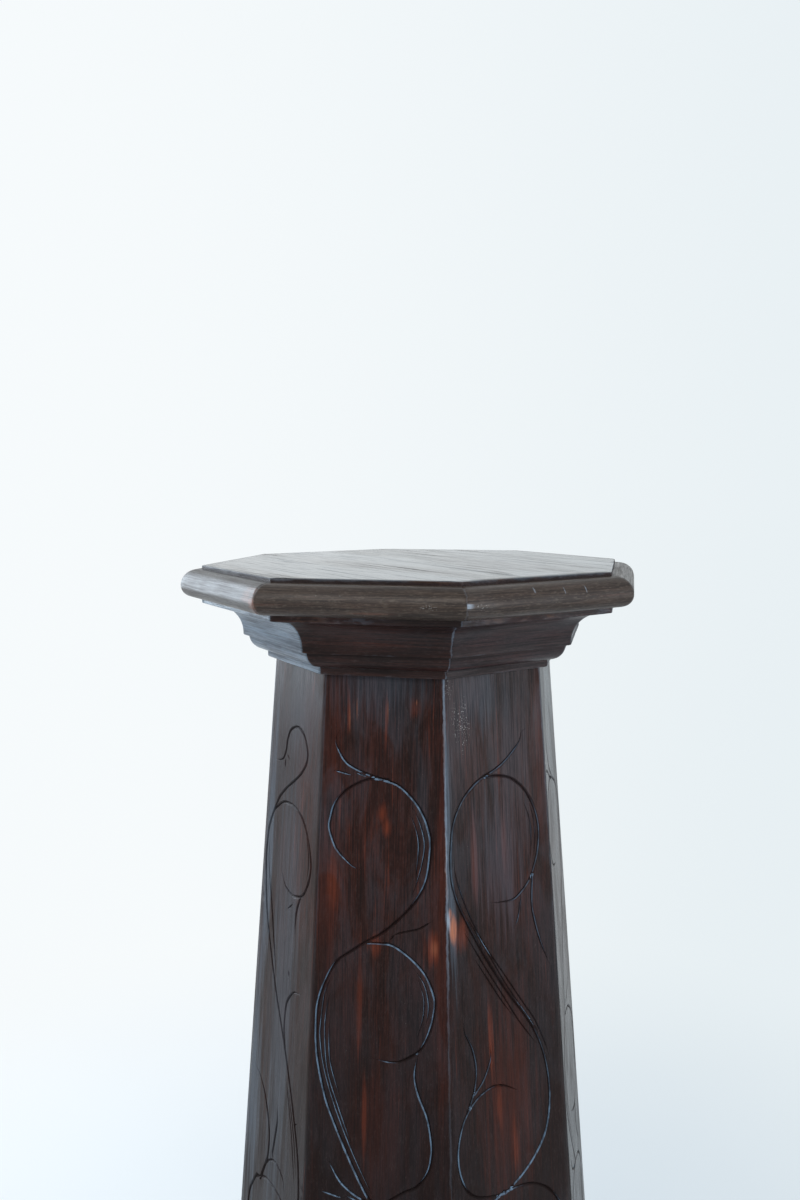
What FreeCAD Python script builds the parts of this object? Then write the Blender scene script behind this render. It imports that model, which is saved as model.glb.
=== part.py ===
# Eight-sided pedestal column stand in dark stained wood.
#
# A tapering hollow column of eight mitred boards stands on a plinth. It carries a crown
# moulding and a flat display top whose edge is a rounded, mitred strip. Every strip, board
# and band is a separate piece for each side, cut to a mitre that meets its neighbours on the
# planes through the column's axis. Loose tongues join the column boards, boards inside the
# column keep it in shape, and screws and headless brads hold the rest.
#
# Millimetres. Z is up, the origin is on the floor under the column's axis, and side 1 faces -Y.
# Each side's piece is drawn facing +X, with X as the distance from the axis, and turned into place.

import FreeCAD, Part
import math
import os
import Sketcher

SIDES = 8
HALF_SIDE = 180.0 / SIDES  # degrees from the middle of a side to its mitre
FRONT = -90.0  # degrees from +X to the side that faces -Y
TOP_SCREWS = 4
SPARE_CELL = "D1"

# Driving sizes in millimetres: name, value, what it is.
DRIVING_SIZES = [
    ("overall_height", 1000, "floor to the display surface"),
    ("panel_width", 300, "display panel, across its flats"),
    ("panel_lip", 2.8, "how far the panel stands above the rounded edge strip"),
    ("edge_thick", 20.6, "height of the rounded edge strip"),
    ("edge_flat", 3.3, "flat shelf on top of the edge strip, beside the panel"),
    ("edge_round", 12, "radius of the edge strip's upper curve"),
    ("crown_fillet_high", 4.8, "flat band at the top of the crown moulding"),
    ("soffit_wide", 15, "underside of that band, out from the cove"),
    ("soffit_fall", 2.8, "how much lower that underside is at the cove"),
    ("cove_radius", 22, "radius of the crown's hollow curve"),
    ("cove_reach", 12.9, "how far the hollow curve reaches outwards"),
    ("cove_foot_high", 2, "upright part below the hollow curve"),
    ("cove_step", 3.9, "ledge between the cove and the ovolo"),
    ("ovolo_radius", 11.7, "radius of the crown's lower rounded curve"),
    ("ovolo_shelf", 1.2, "underside of the ovolo, out from the neck band"),
    ("neck_band_high", 5.6, "flat band under the crown moulding"),
    ("neck_band_thick", 6.3, "how far that band stands off the column at its foot"),
    ("column_neck_width", 200, "column across its flats, just under the neck band"),
    ("column_foot_width", 338, "column across its flats, on the base board"),
    ("stave_thick", 20, "column board, square to its face"),
    ("tongue_thick", 3, "loose tongue in each column mitre"),
    ("tongue_wide", 12, "that tongue, across the mitre"),
    ("tongue_depth", 11, "middle of the tongue, in from the column's face"),
    ("base_band_high", 5, "flat band at the top of the base moulding"),
    ("base_band_thick", 3.2, "how far that band stands off the column"),
    ("base_step", 1.2, "ledge under that band"),
    ("base_neck_high", 2.5, "upright part above the base moulding's hollow"),
    ("base_cove_radius", 14, "radius of the base moulding's hollow curve"),
    ("base_shelf", 3, "ledge outside the hollow curve"),
    ("base_fillet_high", 6, "flat band at the foot of the base moulding"),
    ("base_reveal", 4, "plinth face outside the base moulding"),
    ("plinth_high", 70, "plinth board"),
    ("plinth_chamfer", 3, "chamfer on the plinth's upper edge"),
    ("base_board_thick", 18, "board that closes the bottom"),
    ("former_thick", 18, "board that keeps the column in shape"),
    ("middle_former_level", 480, "underside of the middle former"),
    ("block_depth", 18, "glue block, in from the column's inner corner"),
    ("block_high", 60, "glue block"),
    ("screw_shank", 4, "wood screw, diameter"),
    ("screw_head", 8, "wood screw's head, diameter"),
    ("screw_head_high", 2.4, "wood screw's countersunk head"),
    ("screw_tip", 5, "wood screw's tapered tip"),
    ("top_screw_length", 32, "screws up through the top former"),
    ("top_screw_circle", 120, "circle of the top screws, diameter"),
    ("base_screw_length", 45, "screws up through the base board"),
    ("base_screw_margin", 6.5, "screw's centre, in from the tip of a glue block's top"),
    ("brad_thick", 1.6, "headless brad, diameter"),
    ("brad_length", 35, "headless brad"),
    ("brad_set", 2, "how far a brad is sunk below the face"),
    ("edge_brad_gap", 90, "between the two brads of an edge strip"),
    ("crown_brad_gap", 50, "between the two brads of a crown moulding"),
    ("base_brad_gap", 90, "between the two brads of a base strip"),
    ("mitre_overrun", 5, "how far a mitre cut runs past the piece"),
]

# Sizes worked out from the driving ones: name, formula. Levels are heights above the floor,
# and a face is the distance from the axis to the middle of a flat.
WORKED_SIZES = [
    ("panel_face", "Sizes.panel_width / 2"),
    ("edge_top", "Sizes.overall_height - Sizes.panel_lip"),
    ("edge_under", "edge_top - Sizes.edge_thick"),
    ("edge_nose", "edge_top - Sizes.edge_round"),
    ("edge_lower_round", "Sizes.edge_thick - Sizes.edge_round"),
    ("edge_face", "panel_face + Sizes.edge_flat + Sizes.edge_round"),
    ("cove_drop", "sqrt(pow(Sizes.cove_radius; 2) - pow(Sizes.cove_radius - Sizes.cove_reach; 2))"),
    ("fillet_foot", "edge_under - Sizes.crown_fillet_high"),
    ("cove_top", "fillet_foot - Sizes.soffit_fall"),
    ("cove_end", "cove_top - cove_drop"),
    ("ovolo_top", "cove_end - Sizes.cove_foot_high"),
    ("crown_under", "ovolo_top - Sizes.ovolo_radius"),
    ("neck_level", "crown_under - Sizes.neck_band_high"),
    ("neck_face", "Sizes.column_neck_width / 2"),
    ("foot_face", "Sizes.column_foot_width / 2"),
    ("slope", "(foot_face - neck_face) / (neck_level - Sizes.base_board_thick)"),
    ("wall", "Sizes.stave_thick * sqrt(1 + slope * slope)"),
    ("band_face", "neck_face + Sizes.neck_band_thick"),
    ("ovolo_foot", "band_face + Sizes.ovolo_shelf"),
    ("ovolo_face", "ovolo_foot + Sizes.ovolo_radius"),
    ("cove_foot", "ovolo_face + Sizes.cove_step"),
    ("cove_mouth", "cove_foot + Sizes.cove_reach"),
    ("crown_face", "cove_mouth + Sizes.soffit_wide"),
    ("base_hollow", "Sizes.plinth_high + Sizes.base_fillet_high"),
    ("base_neck", "base_hollow + Sizes.base_cove_radius"),
    ("base_band", "base_neck + Sizes.base_neck_high"),
    ("base_top", "base_band + Sizes.base_band_high"),
    ("base_band_face", "neck_face + slope * (neck_level - base_top) + Sizes.base_band_thick"),
    ("base_neck_face", "base_band_face + Sizes.base_step"),
    ("base_cove_face", "base_neck_face + Sizes.base_cove_radius"),
    ("base_fillet_face", "base_cove_face + Sizes.base_shelf"),
    ("plinth_face", "base_fillet_face + Sizes.base_reveal"),
    ("block_level", "Sizes.base_board_thick"),
    ("former_level", "edge_under - Sizes.former_thick"),
]

os.makedirs("parts", exist_ok=True)
doc = FreeCAD.newDocument("PedestalColumnStand")


def fillSheet(name, rows, asFormula):
    """A sheet with one named value in each row."""
    sheet = doc.addObject("Spreadsheet::Sheet", name)
    for row, entry in enumerate(rows, start=1):
        sheet.set(f"A{row}", entry[0])
        sheet.set(f"B{row}", f"={entry[1]}" if asFormula else str(entry[1]))
        sheet.setAlias(f"B{row}", entry[0])
        if not asFormula:
            sheet.set(f"C{row}", entry[2])
    doc.recompute()
    return sheet


sizes = fillSheet("Sizes", DRIVING_SIZES, asFormula=False)
worked = fillSheet("Worked", WORKED_SIZES, asFormula=True)


# Formulas and sketches


def value(formula):
    """The number that a formula gives, worked out in a spare cell of the sheet."""
    worked.set(SPARE_CELL, f"={formula}")
    worked.recompute()
    return float(worked.get(SPARE_CELL))


def columnFace(level):
    """Formula for the distance from the axis to the column's outer face at a level."""
    return f"(Worked.neck_face + Worked.slope * (Worked.neck_level - ({level})))"


def innerFace(level):
    """Formula for the distance from the axis to the column's inner face at a level."""
    return f"({columnFace(level)} - Worked.wall)"


def newBody(label):
    body = doc.addObject("PartDesign::Body", label + "_body")
    body.Label = label
    return body


def originItem(body, role):
    return next(item for item in body.Origin.OriginFeatures if item.Role == role)


def newSketch(body, name, role, offset=None):
    """A sketch on one of the body's own planes. offset gives formulas for its x, y or z shift."""
    sketch = body.newObject("Sketcher::SketchObject", f"{body.Name}_{name}")
    sketch.AttachmentSupport = [(originItem(body, role), "")]
    sketch.MapMode = "FlatFace"
    for axis, formula in (offset or {}).items():
        sketch.setExpression(f"AttachmentOffset.Base.{axis}", formula)
    return sketch


def pin(sketch, edge, end, formulas, name):
    """Fixes one end of an edge at the place that two formulas give."""
    for kind, onAxis, axis, formula in (
        ("DistanceX", -2, "x", formulas[0]),
        ("DistanceY", -1, "y", formulas[1]),
    ):
        if formula == "0":
            sketch.addConstraint(Sketcher.Constraint("PointOnObject", edge, end, onAxis))
            continue
        amount = value(formula)
        if amount < 0:
            index = sketch.addConstraint(Sketcher.Constraint(kind, edge, end, -1, 1, -amount))
            formula = f"-({formula})"
        else:
            index = sketch.addConstraint(Sketcher.Constraint(kind, -1, 1, edge, end, amount))
        sketch.renameConstraint(index, f"{name}_{axis}")
        sketch.setExpression(f"Constraints.{name}_{axis}", formula)


def arcBetween(start, end, radius, leftTurn):
    """The short arc from start to end. Its curve turns left or right on the way."""
    chord = end - start
    middle = (start + end) / 2
    rise = math.sqrt(max(radius * radius - chord.Length * chord.Length / 4, 0))
    square = FreeCAD.Vector(-chord.y, chord.x, 0).normalize()
    centre = middle + square * (rise if leftTurn else -rise)
    first, last = (start, end) if leftTurn else (end, start)
    angles = [math.atan2(p.y - centre.y, p.x - centre.x) for p in (first, last)]
    circle = Part.Circle(centre, FreeCAD.Vector(0, 0, 1), radius)
    return Part.ArcOfCircle(circle, *angles)


def drawOutline(sketch, corners):
    """A closed outline. A corner is (x, y), or (x, y, radius, turn) where an arc leads up to it."""
    places = [FreeCAD.Vector(value(c[0]), value(c[1]), 0) for c in corners]
    ends = []
    for number, place in enumerate(places):
        following = (number + 1) % len(places)
        bend = corners[following][2:]
        if bend:
            leftTurn = bend[1] == "left"
            arc = arcBetween(place, places[following], value(bend[0]), leftTurn)
            edge = sketch.addGeometry(arc, False)
            ends.append((edge, 1, 2) if leftTurn else (edge, 2, 1))
        else:
            edge = sketch.addGeometry(Part.LineSegment(place, places[following]), False)
            ends.append((edge, 1, 2))
    for number, (edge, start, end) in enumerate(ends):
        nextEdge, nextStart, _ = ends[(number + 1) % len(ends)]
        sketch.addConstraint(Sketcher.Constraint("Coincident", edge, end, nextEdge, nextStart))
    for number, (edge, start, end) in enumerate(ends):
        pin(sketch, edge, start, corners[number][:2], f"p{number}")
        bend = corners[(number + 1) % len(corners)][2:]
        if bend:
            index = sketch.addConstraint(Sketcher.Constraint("Radius", edge, value(bend[0])))
            sketch.renameConstraint(index, f"r{number}")
            sketch.setExpression(f"Constraints.r{number}", bend[0])


def polygonCorners(face, turned=0.0):
    """The corners of a regular polygon with SIDES flats at the distance face from its middle."""
    reach = f"({face}) / cos({HALF_SIDE})"
    angles = [HALF_SIDE * (2 * side + 1) + turned for side in range(SIDES)]
    corners = []
    for angle in angles:
        across, along = math.cos(math.radians(angle)), math.sin(math.radians(angle))
        x = "0" if abs(across) < 1e-9 else f"{reach} * cos({angle})"
        y = "0" if abs(along) < 1e-9 else f"{reach} * sin({angle})"
        corners.append((x, y))
    return corners


# Features


def addPad(body, sketch, length, taper=None, midplane=False):
    pad = body.newObject("PartDesign::Pad", f"{sketch.Name}_pad")
    pad.Profile = sketch
    pad.Midplane = midplane
    pad.setExpression("Length", length)
    if taper:
        pad.setExpression("TaperAngle", taper)
    return pad


def addPocketThrough(body, sketch):
    pocket = body.newObject("PartDesign::Pocket", f"{sketch.Name}_pocket")
    pocket.Profile = sketch
    pocket.Type = "ThroughAll"
    pocket.Midplane = True
    return pocket


def addPolar(body, original, count):
    pattern = body.newObject("PartDesign::PolarPattern", f"{original.Name}_polar")
    pattern.Originals = [original]
    pattern.Axis = (originItem(body, "Z_Axis"), [""])
    pattern.Angle = 360
    pattern.Occurrences = count
    body.Tip = pattern
    return pattern


def facing(side):
    """The placement that turns a piece drawn facing +X to its side."""
    turn = FRONT + 2 * HALF_SIDE * side
    return FreeCAD.Placement(FreeCAD.Vector(), FreeCAD.Rotation(FreeCAD.Vector(0, 0, 1), turn))


def mitredPiece(label, side, corners, outerFace):
    """One side's strip: an outline run along the side and cut to both mitres."""
    body = newBody(label)
    sketch = newSketch(body, "section", "XZ_Plane")
    drawOutline(sketch, corners)
    addPad(body, sketch, f"2 * {outerFace} * tan({HALF_SIDE})", midplane=True)
    reach = f"({outerFace} + Sizes.mitre_overrun)"
    mitre = newSketch(body, "mitre", "XY_Plane")
    far = f"{reach} * tan({HALF_SIDE})"
    drawOutline(mitre, [("0", "0"), (reach, far), ("0", far)])
    pocket = addPocketThrough(body, mitre)
    mirrored = body.newObject("PartDesign::Mirrored", f"{body.Name}_other_mitre")
    mirrored.Originals = [pocket]
    mirrored.MirrorPlane = (originItem(body, "XZ_Plane"), [""])
    body.Tip = mirrored
    body.Placement = facing(side)
    return body


def drilled(label, body, fillers):
    """The piece that is left when its fasteners or tongues have made their own holes in a body."""
    body.Label = label + "_blank"
    tool = fillers[0]
    if len(fillers) > 1:
        tool = doc.addObject("Part::Compound", label + "_holes")
        tool.Links = fillers
    cut = doc.addObject("Part::Cut", label)
    cut.Label = label
    cut.Base = body
    cut.Tool = tool
    return cut


def eightSidedBoard(label, face, level, thickness, taper=None):
    body = newBody(label)
    sketch = newSketch(body, "outline", "XY_Plane", {"z": level})
    drawOutline(sketch, polygonCorners(face))
    addPad(body, sketch, thickness, taper)
    return body


# Fasteners and tongues


def bradGroup(label, rows):
    """Headless brads driven straight in, two to a side. A row is (buried end's place, level, gap)."""
    body = newBody(label)
    for number, (inner, level, gap) in enumerate(rows):
        sketch = newSketch(body, f"row{number}", "YZ_Plane", {"z": inner})
        for name, sign in (("left", "-"), ("right", "")):
            across = f"{sign}({gap}) / 2"
            centre = FreeCAD.Vector(value(across), value(level), 0)
            circle = Part.Circle(centre, FreeCAD.Vector(0, 0, 1), value("Sizes.brad_thick / 2"))
            edge = sketch.addGeometry(circle, False)
            pin(sketch, edge, 3, (across, level), name)
            index = sketch.addConstraint(Sketcher.Constraint("Radius", edge, circle.Radius))
            sketch.renameConstraint(index, f"{name}_radius")
            sketch.setExpression(f"Constraints.{name}_radius", "Sizes.brad_thick / 2")
        pad = addPad(body, sketch, "Sizes.brad_length")
        addPolar(body, pad, SIDES)
    return body


def screwGroup(label, place, level, length, count, turned=0.0):
    """Countersunk wood screws that point up, on a circle round the axis."""
    body = newBody(label)
    sketch = newSketch(body, "half_section", "XZ_Plane", {"x": place, "y": level})
    head, shank = "Sizes.screw_head / 2", "Sizes.screw_shank / 2"
    corners = [
        ("0", "0"),
        (head, "0"),
        (shank, "Sizes.screw_head_high"),
        (shank, f"{length} - Sizes.screw_tip"),
        ("0", length),
    ]
    drawOutline(sketch, corners)
    turning = body.newObject("PartDesign::Revolution", f"{body.Name}_turned")
    turning.Profile = sketch
    turning.ReferenceAxis = (sketch, ["V_Axis"])
    turning.Angle = 360
    addPolar(body, turning, count)
    body.Placement.Rotation = FreeCAD.Rotation(FreeCAD.Vector(0, 0, 1), turned)
    return body


def tongueGroup(label):
    """Loose tongues, one in each mitre of the column, from the base board to the display top."""
    body = newBody(label)
    sketch = newSketch(body, "side_view", "XZ_Plane")
    shrink = f"cos({HALF_SIDE})"
    half = "Sizes.tongue_thick / 2"

    def place(level, sign):
        return f"({columnFace(level)} - Sizes.tongue_depth) / {shrink} {sign} {half}"

    foot, head = "Sizes.base_board_thick", "Worked.edge_under"
    corners = [(place(foot, "-"), foot), (place(foot, "+"), foot)]
    corners += [(place(head, "+"), head), (place(head, "-"), head)]
    drawOutline(sketch, corners)
    pad = addPad(body, sketch, "Sizes.tongue_wide", midplane=True)
    addPolar(body, pad, SIDES)
    body.Placement.Rotation = FreeCAD.Rotation(FreeCAD.Vector(0, 0, 1), HALF_SIDE)
    return body


def insideEnd(face):
    """Formula for a brad's buried end, when its outer end is sunk below a face."""
    return f"{face} - Sizes.brad_set - Sizes.brad_length"


edgeBrads = bradGroup(
    "top_edge_brads", [(insideEnd("Worked.edge_face"), "Worked.edge_nose", "Sizes.edge_brad_gap")]
)
crownBradLevel = "Worked.cove_end"
crownBrads = bradGroup(
    "crown_brads", [(insideEnd("Worked.cove_foot"), crownBradLevel, "Sizes.crown_brad_gap")]
)
plinthBradLevel = "Sizes.base_board_thick / 2"
mouldingBradLevel = "Sizes.plinth_high + Sizes.base_fillet_high / 2"
baseBrads = bradGroup(
    "base_brads",
    [
        (insideEnd("Worked.plinth_face"), plinthBradLevel, "Sizes.base_brad_gap"),
        (insideEnd("Worked.base_fillet_face"), mouldingBradLevel, "Sizes.base_brad_gap"),
    ],
)
tongues = tongueGroup("stave_tongues")
topScrews = screwGroup(
    "top_screws",
    "Sizes.top_screw_circle / 2",
    "Worked.former_level",
    "Sizes.top_screw_length",
    TOP_SCREWS,
)
blockTop = "(Worked.block_level + Sizes.block_high)"
blockTip = f"{innerFace(blockTop)} / cos({HALF_SIDE})"
baseScrews = screwGroup(
    "base_screws",
    f"{blockTip} - Sizes.base_screw_margin",
    "0",
    "Sizes.base_screw_length",
    SIDES,
    HALF_SIDE,
)


# Boards inside the column, the base board and the display panel

alongColumn = "-atan(Worked.slope)"


def cornerBlocks(label):
    """Glue blocks in the column's inner corners, standing on the base board."""
    body = eightSidedBoard(
        label, innerFace("Worked.block_level"), "Worked.block_level", "Sizes.block_high", alongColumn
    )
    blockCorner = f"{innerFace('Worked.block_level')} / cos({HALF_SIDE})"
    opening = newSketch(body, "opening", "XY_Plane")
    drawOutline(opening, polygonCorners(f"{blockCorner} - Sizes.block_depth", HALF_SIDE))
    addPocketThrough(body, opening)
    return body


topFormer = eightSidedBoard(
    "top_former",
    innerFace("Worked.former_level"),
    "Worked.former_level",
    "Sizes.former_thick",
    alongColumn,
)
middleFormer = eightSidedBoard(
    "middle_former",
    innerFace("Sizes.middle_former_level"),
    "Sizes.middle_former_level",
    "Sizes.former_thick",
    alongColumn,
)
baseBoard = eightSidedBoard(
    "base_board", columnFace("0"), "0", "Sizes.base_board_thick", alongColumn
)
topPanel = eightSidedBoard(
    "top_panel",
    "Worked.panel_face",
    "Worked.edge_under",
    "Sizes.edge_thick + Sizes.panel_lip",
)

nodes = [edgeBrads, crownBrads, baseBrads, tongues, topScrews, baseScrews, middleFormer]
nodes.append(drilled("top_former", topFormer, [topScrews]))
nodes.append(drilled("base_board", baseBoard, [baseBrads, baseScrews]))
nodes.append(drilled("corner_blocks", cornerBlocks("corner_blocks"), [baseScrews]))
nodes.append(drilled("top_panel", topPanel, [edgeBrads, topScrews]))


# The strips, bands and boards that each side has of its own


def edgeStrip(label, side):
    """Rounded strip round the display panel."""
    inner, flat = "Worked.panel_face", "(Worked.panel_face + Sizes.edge_flat)"
    lowerStart = "(Worked.edge_face - Worked.edge_lower_round)"
    corners = [
        (inner, "Worked.edge_under"),
        (lowerStart, "Worked.edge_under"),
        ("Worked.edge_face", "Worked.edge_nose", "Worked.edge_lower_round", "left"),
        (flat, "Worked.edge_top", "Sizes.edge_round", "left"),
        (inner, "Worked.edge_top"),
    ]
    body = mitredPiece(label, side, corners, "Worked.edge_face")
    return drilled(label, body, [edgeBrads])


def crownMoulding(label, side):
    """Fillet, sloping soffit, cove, ledge and ovolo in one strip, glued under the display top."""
    foot, head = "Worked.crown_under", "Worked.edge_under"
    corners = [
        (columnFace(foot), foot),
        ("Worked.ovolo_foot", foot),
        ("Worked.ovolo_face", "Worked.ovolo_top", "Sizes.ovolo_radius", "left"),
        ("Worked.cove_foot", "Worked.ovolo_top"),
        ("Worked.cove_foot", "Worked.cove_end"),
        ("Worked.cove_mouth", "Worked.cove_top", "Sizes.cove_radius", "right"),
        ("Worked.crown_face", "Worked.fillet_foot"),
        ("Worked.crown_face", head),
        (columnFace(head), head),
    ]
    body = mitredPiece(label, side, corners, "Worked.crown_face")
    return drilled(label, body, [crownBrads])


def neckBand(label, side):
    """Flat band under the crown moulding."""
    foot, head = "Worked.neck_level", "Worked.crown_under"
    corners = [(columnFace(foot), foot), ("Worked.band_face", foot)]
    corners += [("Worked.band_face", head), (columnFace(head), head)]
    return mitredPiece(label, side, corners, "Worked.band_face")


def columnStave(label, side):
    """Tapering column board, from the base board to the display top."""
    foot, head = "Sizes.base_board_thick", "Worked.edge_under"
    corners = [(innerFace(foot), foot), (columnFace(foot), foot)]
    corners += [(columnFace(head), head), (innerFace(head), head)]
    body = mitredPiece(label, side, corners, columnFace(foot))
    return drilled(label, body, [tongues, crownBrads, baseBrads])


def baseMoulding(label, side):
    """Fillet, hollow and band that close the joint between the plinth and the column."""
    foot = "Sizes.plinth_high"
    corners = [
        (columnFace(foot), foot),
        ("Worked.base_fillet_face", foot),
        ("Worked.base_fillet_face", "Worked.base_hollow"),
        ("Worked.base_cove_face", "Worked.base_hollow"),
        ("Worked.base_neck_face", "Worked.base_neck", "Sizes.base_cove_radius", "right"),
        ("Worked.base_neck_face", "Worked.base_band"),
        ("Worked.base_band_face", "Worked.base_band"),
        ("Worked.base_band_face", "Worked.base_top"),
        (columnFace("Worked.base_top"), "Worked.base_top"),
    ]
    body = mitredPiece(label, side, corners, "Worked.base_fillet_face")
    return drilled(label, body, [baseBrads])


def plinthBoard(label, side):
    """Upright board round the column's foot, down to the floor."""
    head = "Sizes.plinth_high"
    chamferFoot = f"{head} - Sizes.plinth_chamfer"
    corners = [
        (columnFace("0"), "0"),
        ("Worked.plinth_face", "0"),
        ("Worked.plinth_face", chamferFoot),
        ("Worked.plinth_face - Sizes.plinth_chamfer", head),
        (columnFace(head), head),
    ]
    body = mitredPiece(label, side, corners, "Worked.plinth_face")
    return drilled(label, body, [baseBrads])


SIDE_PIECES = {
    "top_edge": edgeStrip,
    "crown_moulding": crownMoulding,
    "neck_band": neckBand,
    "column_stave": columnStave,
    "base_moulding": baseMoulding,
    "plinth_board": plinthBoard,
}
for stem, make in SIDE_PIECES.items():
    for side in range(SIDES):
        nodes.append(make(f"{stem}_{side + 1}", side))

doc.recompute()


# Checks and export

for item in doc.Objects:
    if "Invalid" in item.State or "Error" in item.State:
        raise RuntimeError(f"{item.Label} failed: {item.State}")
for node in nodes:
    if node.Shape.isNull() or not node.Shape.isValid() or not node.Shape.Solids:
        raise RuntimeError(f"{node.Label} has no valid solid")
for node in nodes:
    node.Shape.exportStep(f"parts/{node.Label}.step")
print(f"{len(nodes)} nodes, {sum(len(node.Shape.Solids) for node in nodes)} solids")
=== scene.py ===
import math

import bpy
from mathutils import Matrix, Vector, kdtree, noise
from mathutils.geometry import delaunay_2d_cdt


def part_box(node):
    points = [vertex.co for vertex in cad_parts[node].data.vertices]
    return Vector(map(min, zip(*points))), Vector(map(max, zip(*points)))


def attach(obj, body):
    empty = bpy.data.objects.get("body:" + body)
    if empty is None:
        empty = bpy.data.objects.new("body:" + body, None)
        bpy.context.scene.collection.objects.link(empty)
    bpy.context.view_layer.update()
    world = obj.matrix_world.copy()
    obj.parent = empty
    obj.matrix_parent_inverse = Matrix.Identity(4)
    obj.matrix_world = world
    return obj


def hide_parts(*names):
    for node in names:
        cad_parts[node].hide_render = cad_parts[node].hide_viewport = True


# An eight-sided pedestal column: dark stained wood, worn at its edges, with a vine cut into the column.
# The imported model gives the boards. What shows is rebuilt here, softened, worn and carved.

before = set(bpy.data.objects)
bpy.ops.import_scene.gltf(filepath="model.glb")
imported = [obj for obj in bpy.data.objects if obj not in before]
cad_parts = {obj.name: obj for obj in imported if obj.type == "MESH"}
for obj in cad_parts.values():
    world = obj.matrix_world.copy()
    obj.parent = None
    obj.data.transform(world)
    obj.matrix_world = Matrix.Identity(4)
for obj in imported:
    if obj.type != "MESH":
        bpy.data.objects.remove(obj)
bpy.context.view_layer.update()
mm = 0.001
sides = 8
halfSide = math.radians(22.5)  # from the middle of a side to its mitre
mitreSlope = math.tan(halfSide)
print("loaded", len(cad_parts), "nodes")


# the boards' places, read from the frame
panelLow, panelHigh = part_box("top_panel")
stripLow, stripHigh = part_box("top_edge_1")
crownLow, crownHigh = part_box("crown_moulding_1")
bandLow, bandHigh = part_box("neck_band_1")
staveLow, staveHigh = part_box("column_stave_1")
baseLow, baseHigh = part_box("base_moulding_1")
plinthLow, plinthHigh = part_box("plinth_board_1")

topLevel = panelHigh.z
footFace = -staveLow.y  # column face at the staves' foot
bandProud = 6.3 * mm  # how far the neck band stands out from the column
neckFace = -bandLow.y - bandProud
columnSlope = (footFace - neckFace) / (bandLow.z - staveLow.z)
staveThick = 20 * mm
staveWall = staveThick * math.hypot(1, columnSlope)  # the same thickness, measured level


def columnFace(level):
    return neckFace + columnSlope * (bandLow.z - level)


facingX = 3  # the side whose pieces need no turning


def turnToSide(side):
    # pieces are drawn facing +X and turned into place; side 1 faces -Y
    return Matrix.Rotation(math.radians(-90 + 45 * (side - 1)), 4, "Z")


def soften(x, low, high):
    t = min(max((x - low) / (high - low), 0), 1)
    return t * t * (3 - 2 * t)


def wander(x, y, z=0.0):
    # smooth unevenness between -1 and 1, the same in each run
    return noise.noise(Vector((x, y, z)))


def makePiece(name, verts, faces, traits, side, material, slotName, *nodes, sharp=32):
    # traits: for each point its place in the board, its distance from the mitre, how much its corner is
    # rubbed and lit with a painted highlight, how deep it lies in a cut and how much painted shade it has in
    # a cut or crease, whether it is on an arris, how strong the painted glint on its side of a cut is, and
    # how much painted sheen its side has
    mesh = bpy.data.meshes.new(name)
    turn = turnToSide(side)
    mesh.from_pydata([turn @ Vector(v) for v in verts], [], faces)
    board, *rest = zip(*traits)
    places = [c for place in board for c in place]
    mesh.attributes.new("board", "FLOAT_VECTOR", "POINT").data.foreach_set("vector", places)
    for label, values in zip(("mitreGap", "rubAndHighlight", "cut", "arris", "cutGlint", "sideSheen"), rest):
        mesh.attributes.new(label, "FLOAT", "POINT").data.foreach_set("value", values)
    mesh.materials.append(material)
    for polygon in mesh.polygons:
        polygon.use_smooth = True
    mesh.set_sharp_from_angle(angle=math.radians(sharp))
    mesh.update()
    piece = bpy.data.objects.new(name, mesh)
    bpy.context.scene.collection.objects.link(piece)
    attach(piece, "root")
    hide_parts(*nodes)
    return piece


def arc(centre, radius, start, end, count):
    # points on a quarter or so of a circle, start and end in degrees
    angles = [math.radians(start + (end - start) * i / count) for i in range(count + 1)]
    return [(centre[0] + radius * math.cos(a), centre[1] + radius * math.sin(a)) for a in angles]


def winding(flat, triangle):
    # positive where the triangle's points run anticlockwise
    a, b, c = (flat[i] for i in triangle)
    return (b.x - a.x) * (c.y - a.y) - (b.y - a.y) * (c.x - a.x)


def grooveEdges(starts):
    # a groove is drawn as its middle and its two lips, three points at each place along it
    edges = []
    for a, b in zip(starts, starts[1:]):
        edges += [(a, b), (a + 1, b + 1), (a + 2, b + 2)]
    for a in (starts[0], starts[-1]):
        edges += [(a, a + 1), (a, a + 2)]
    return edges


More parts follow.
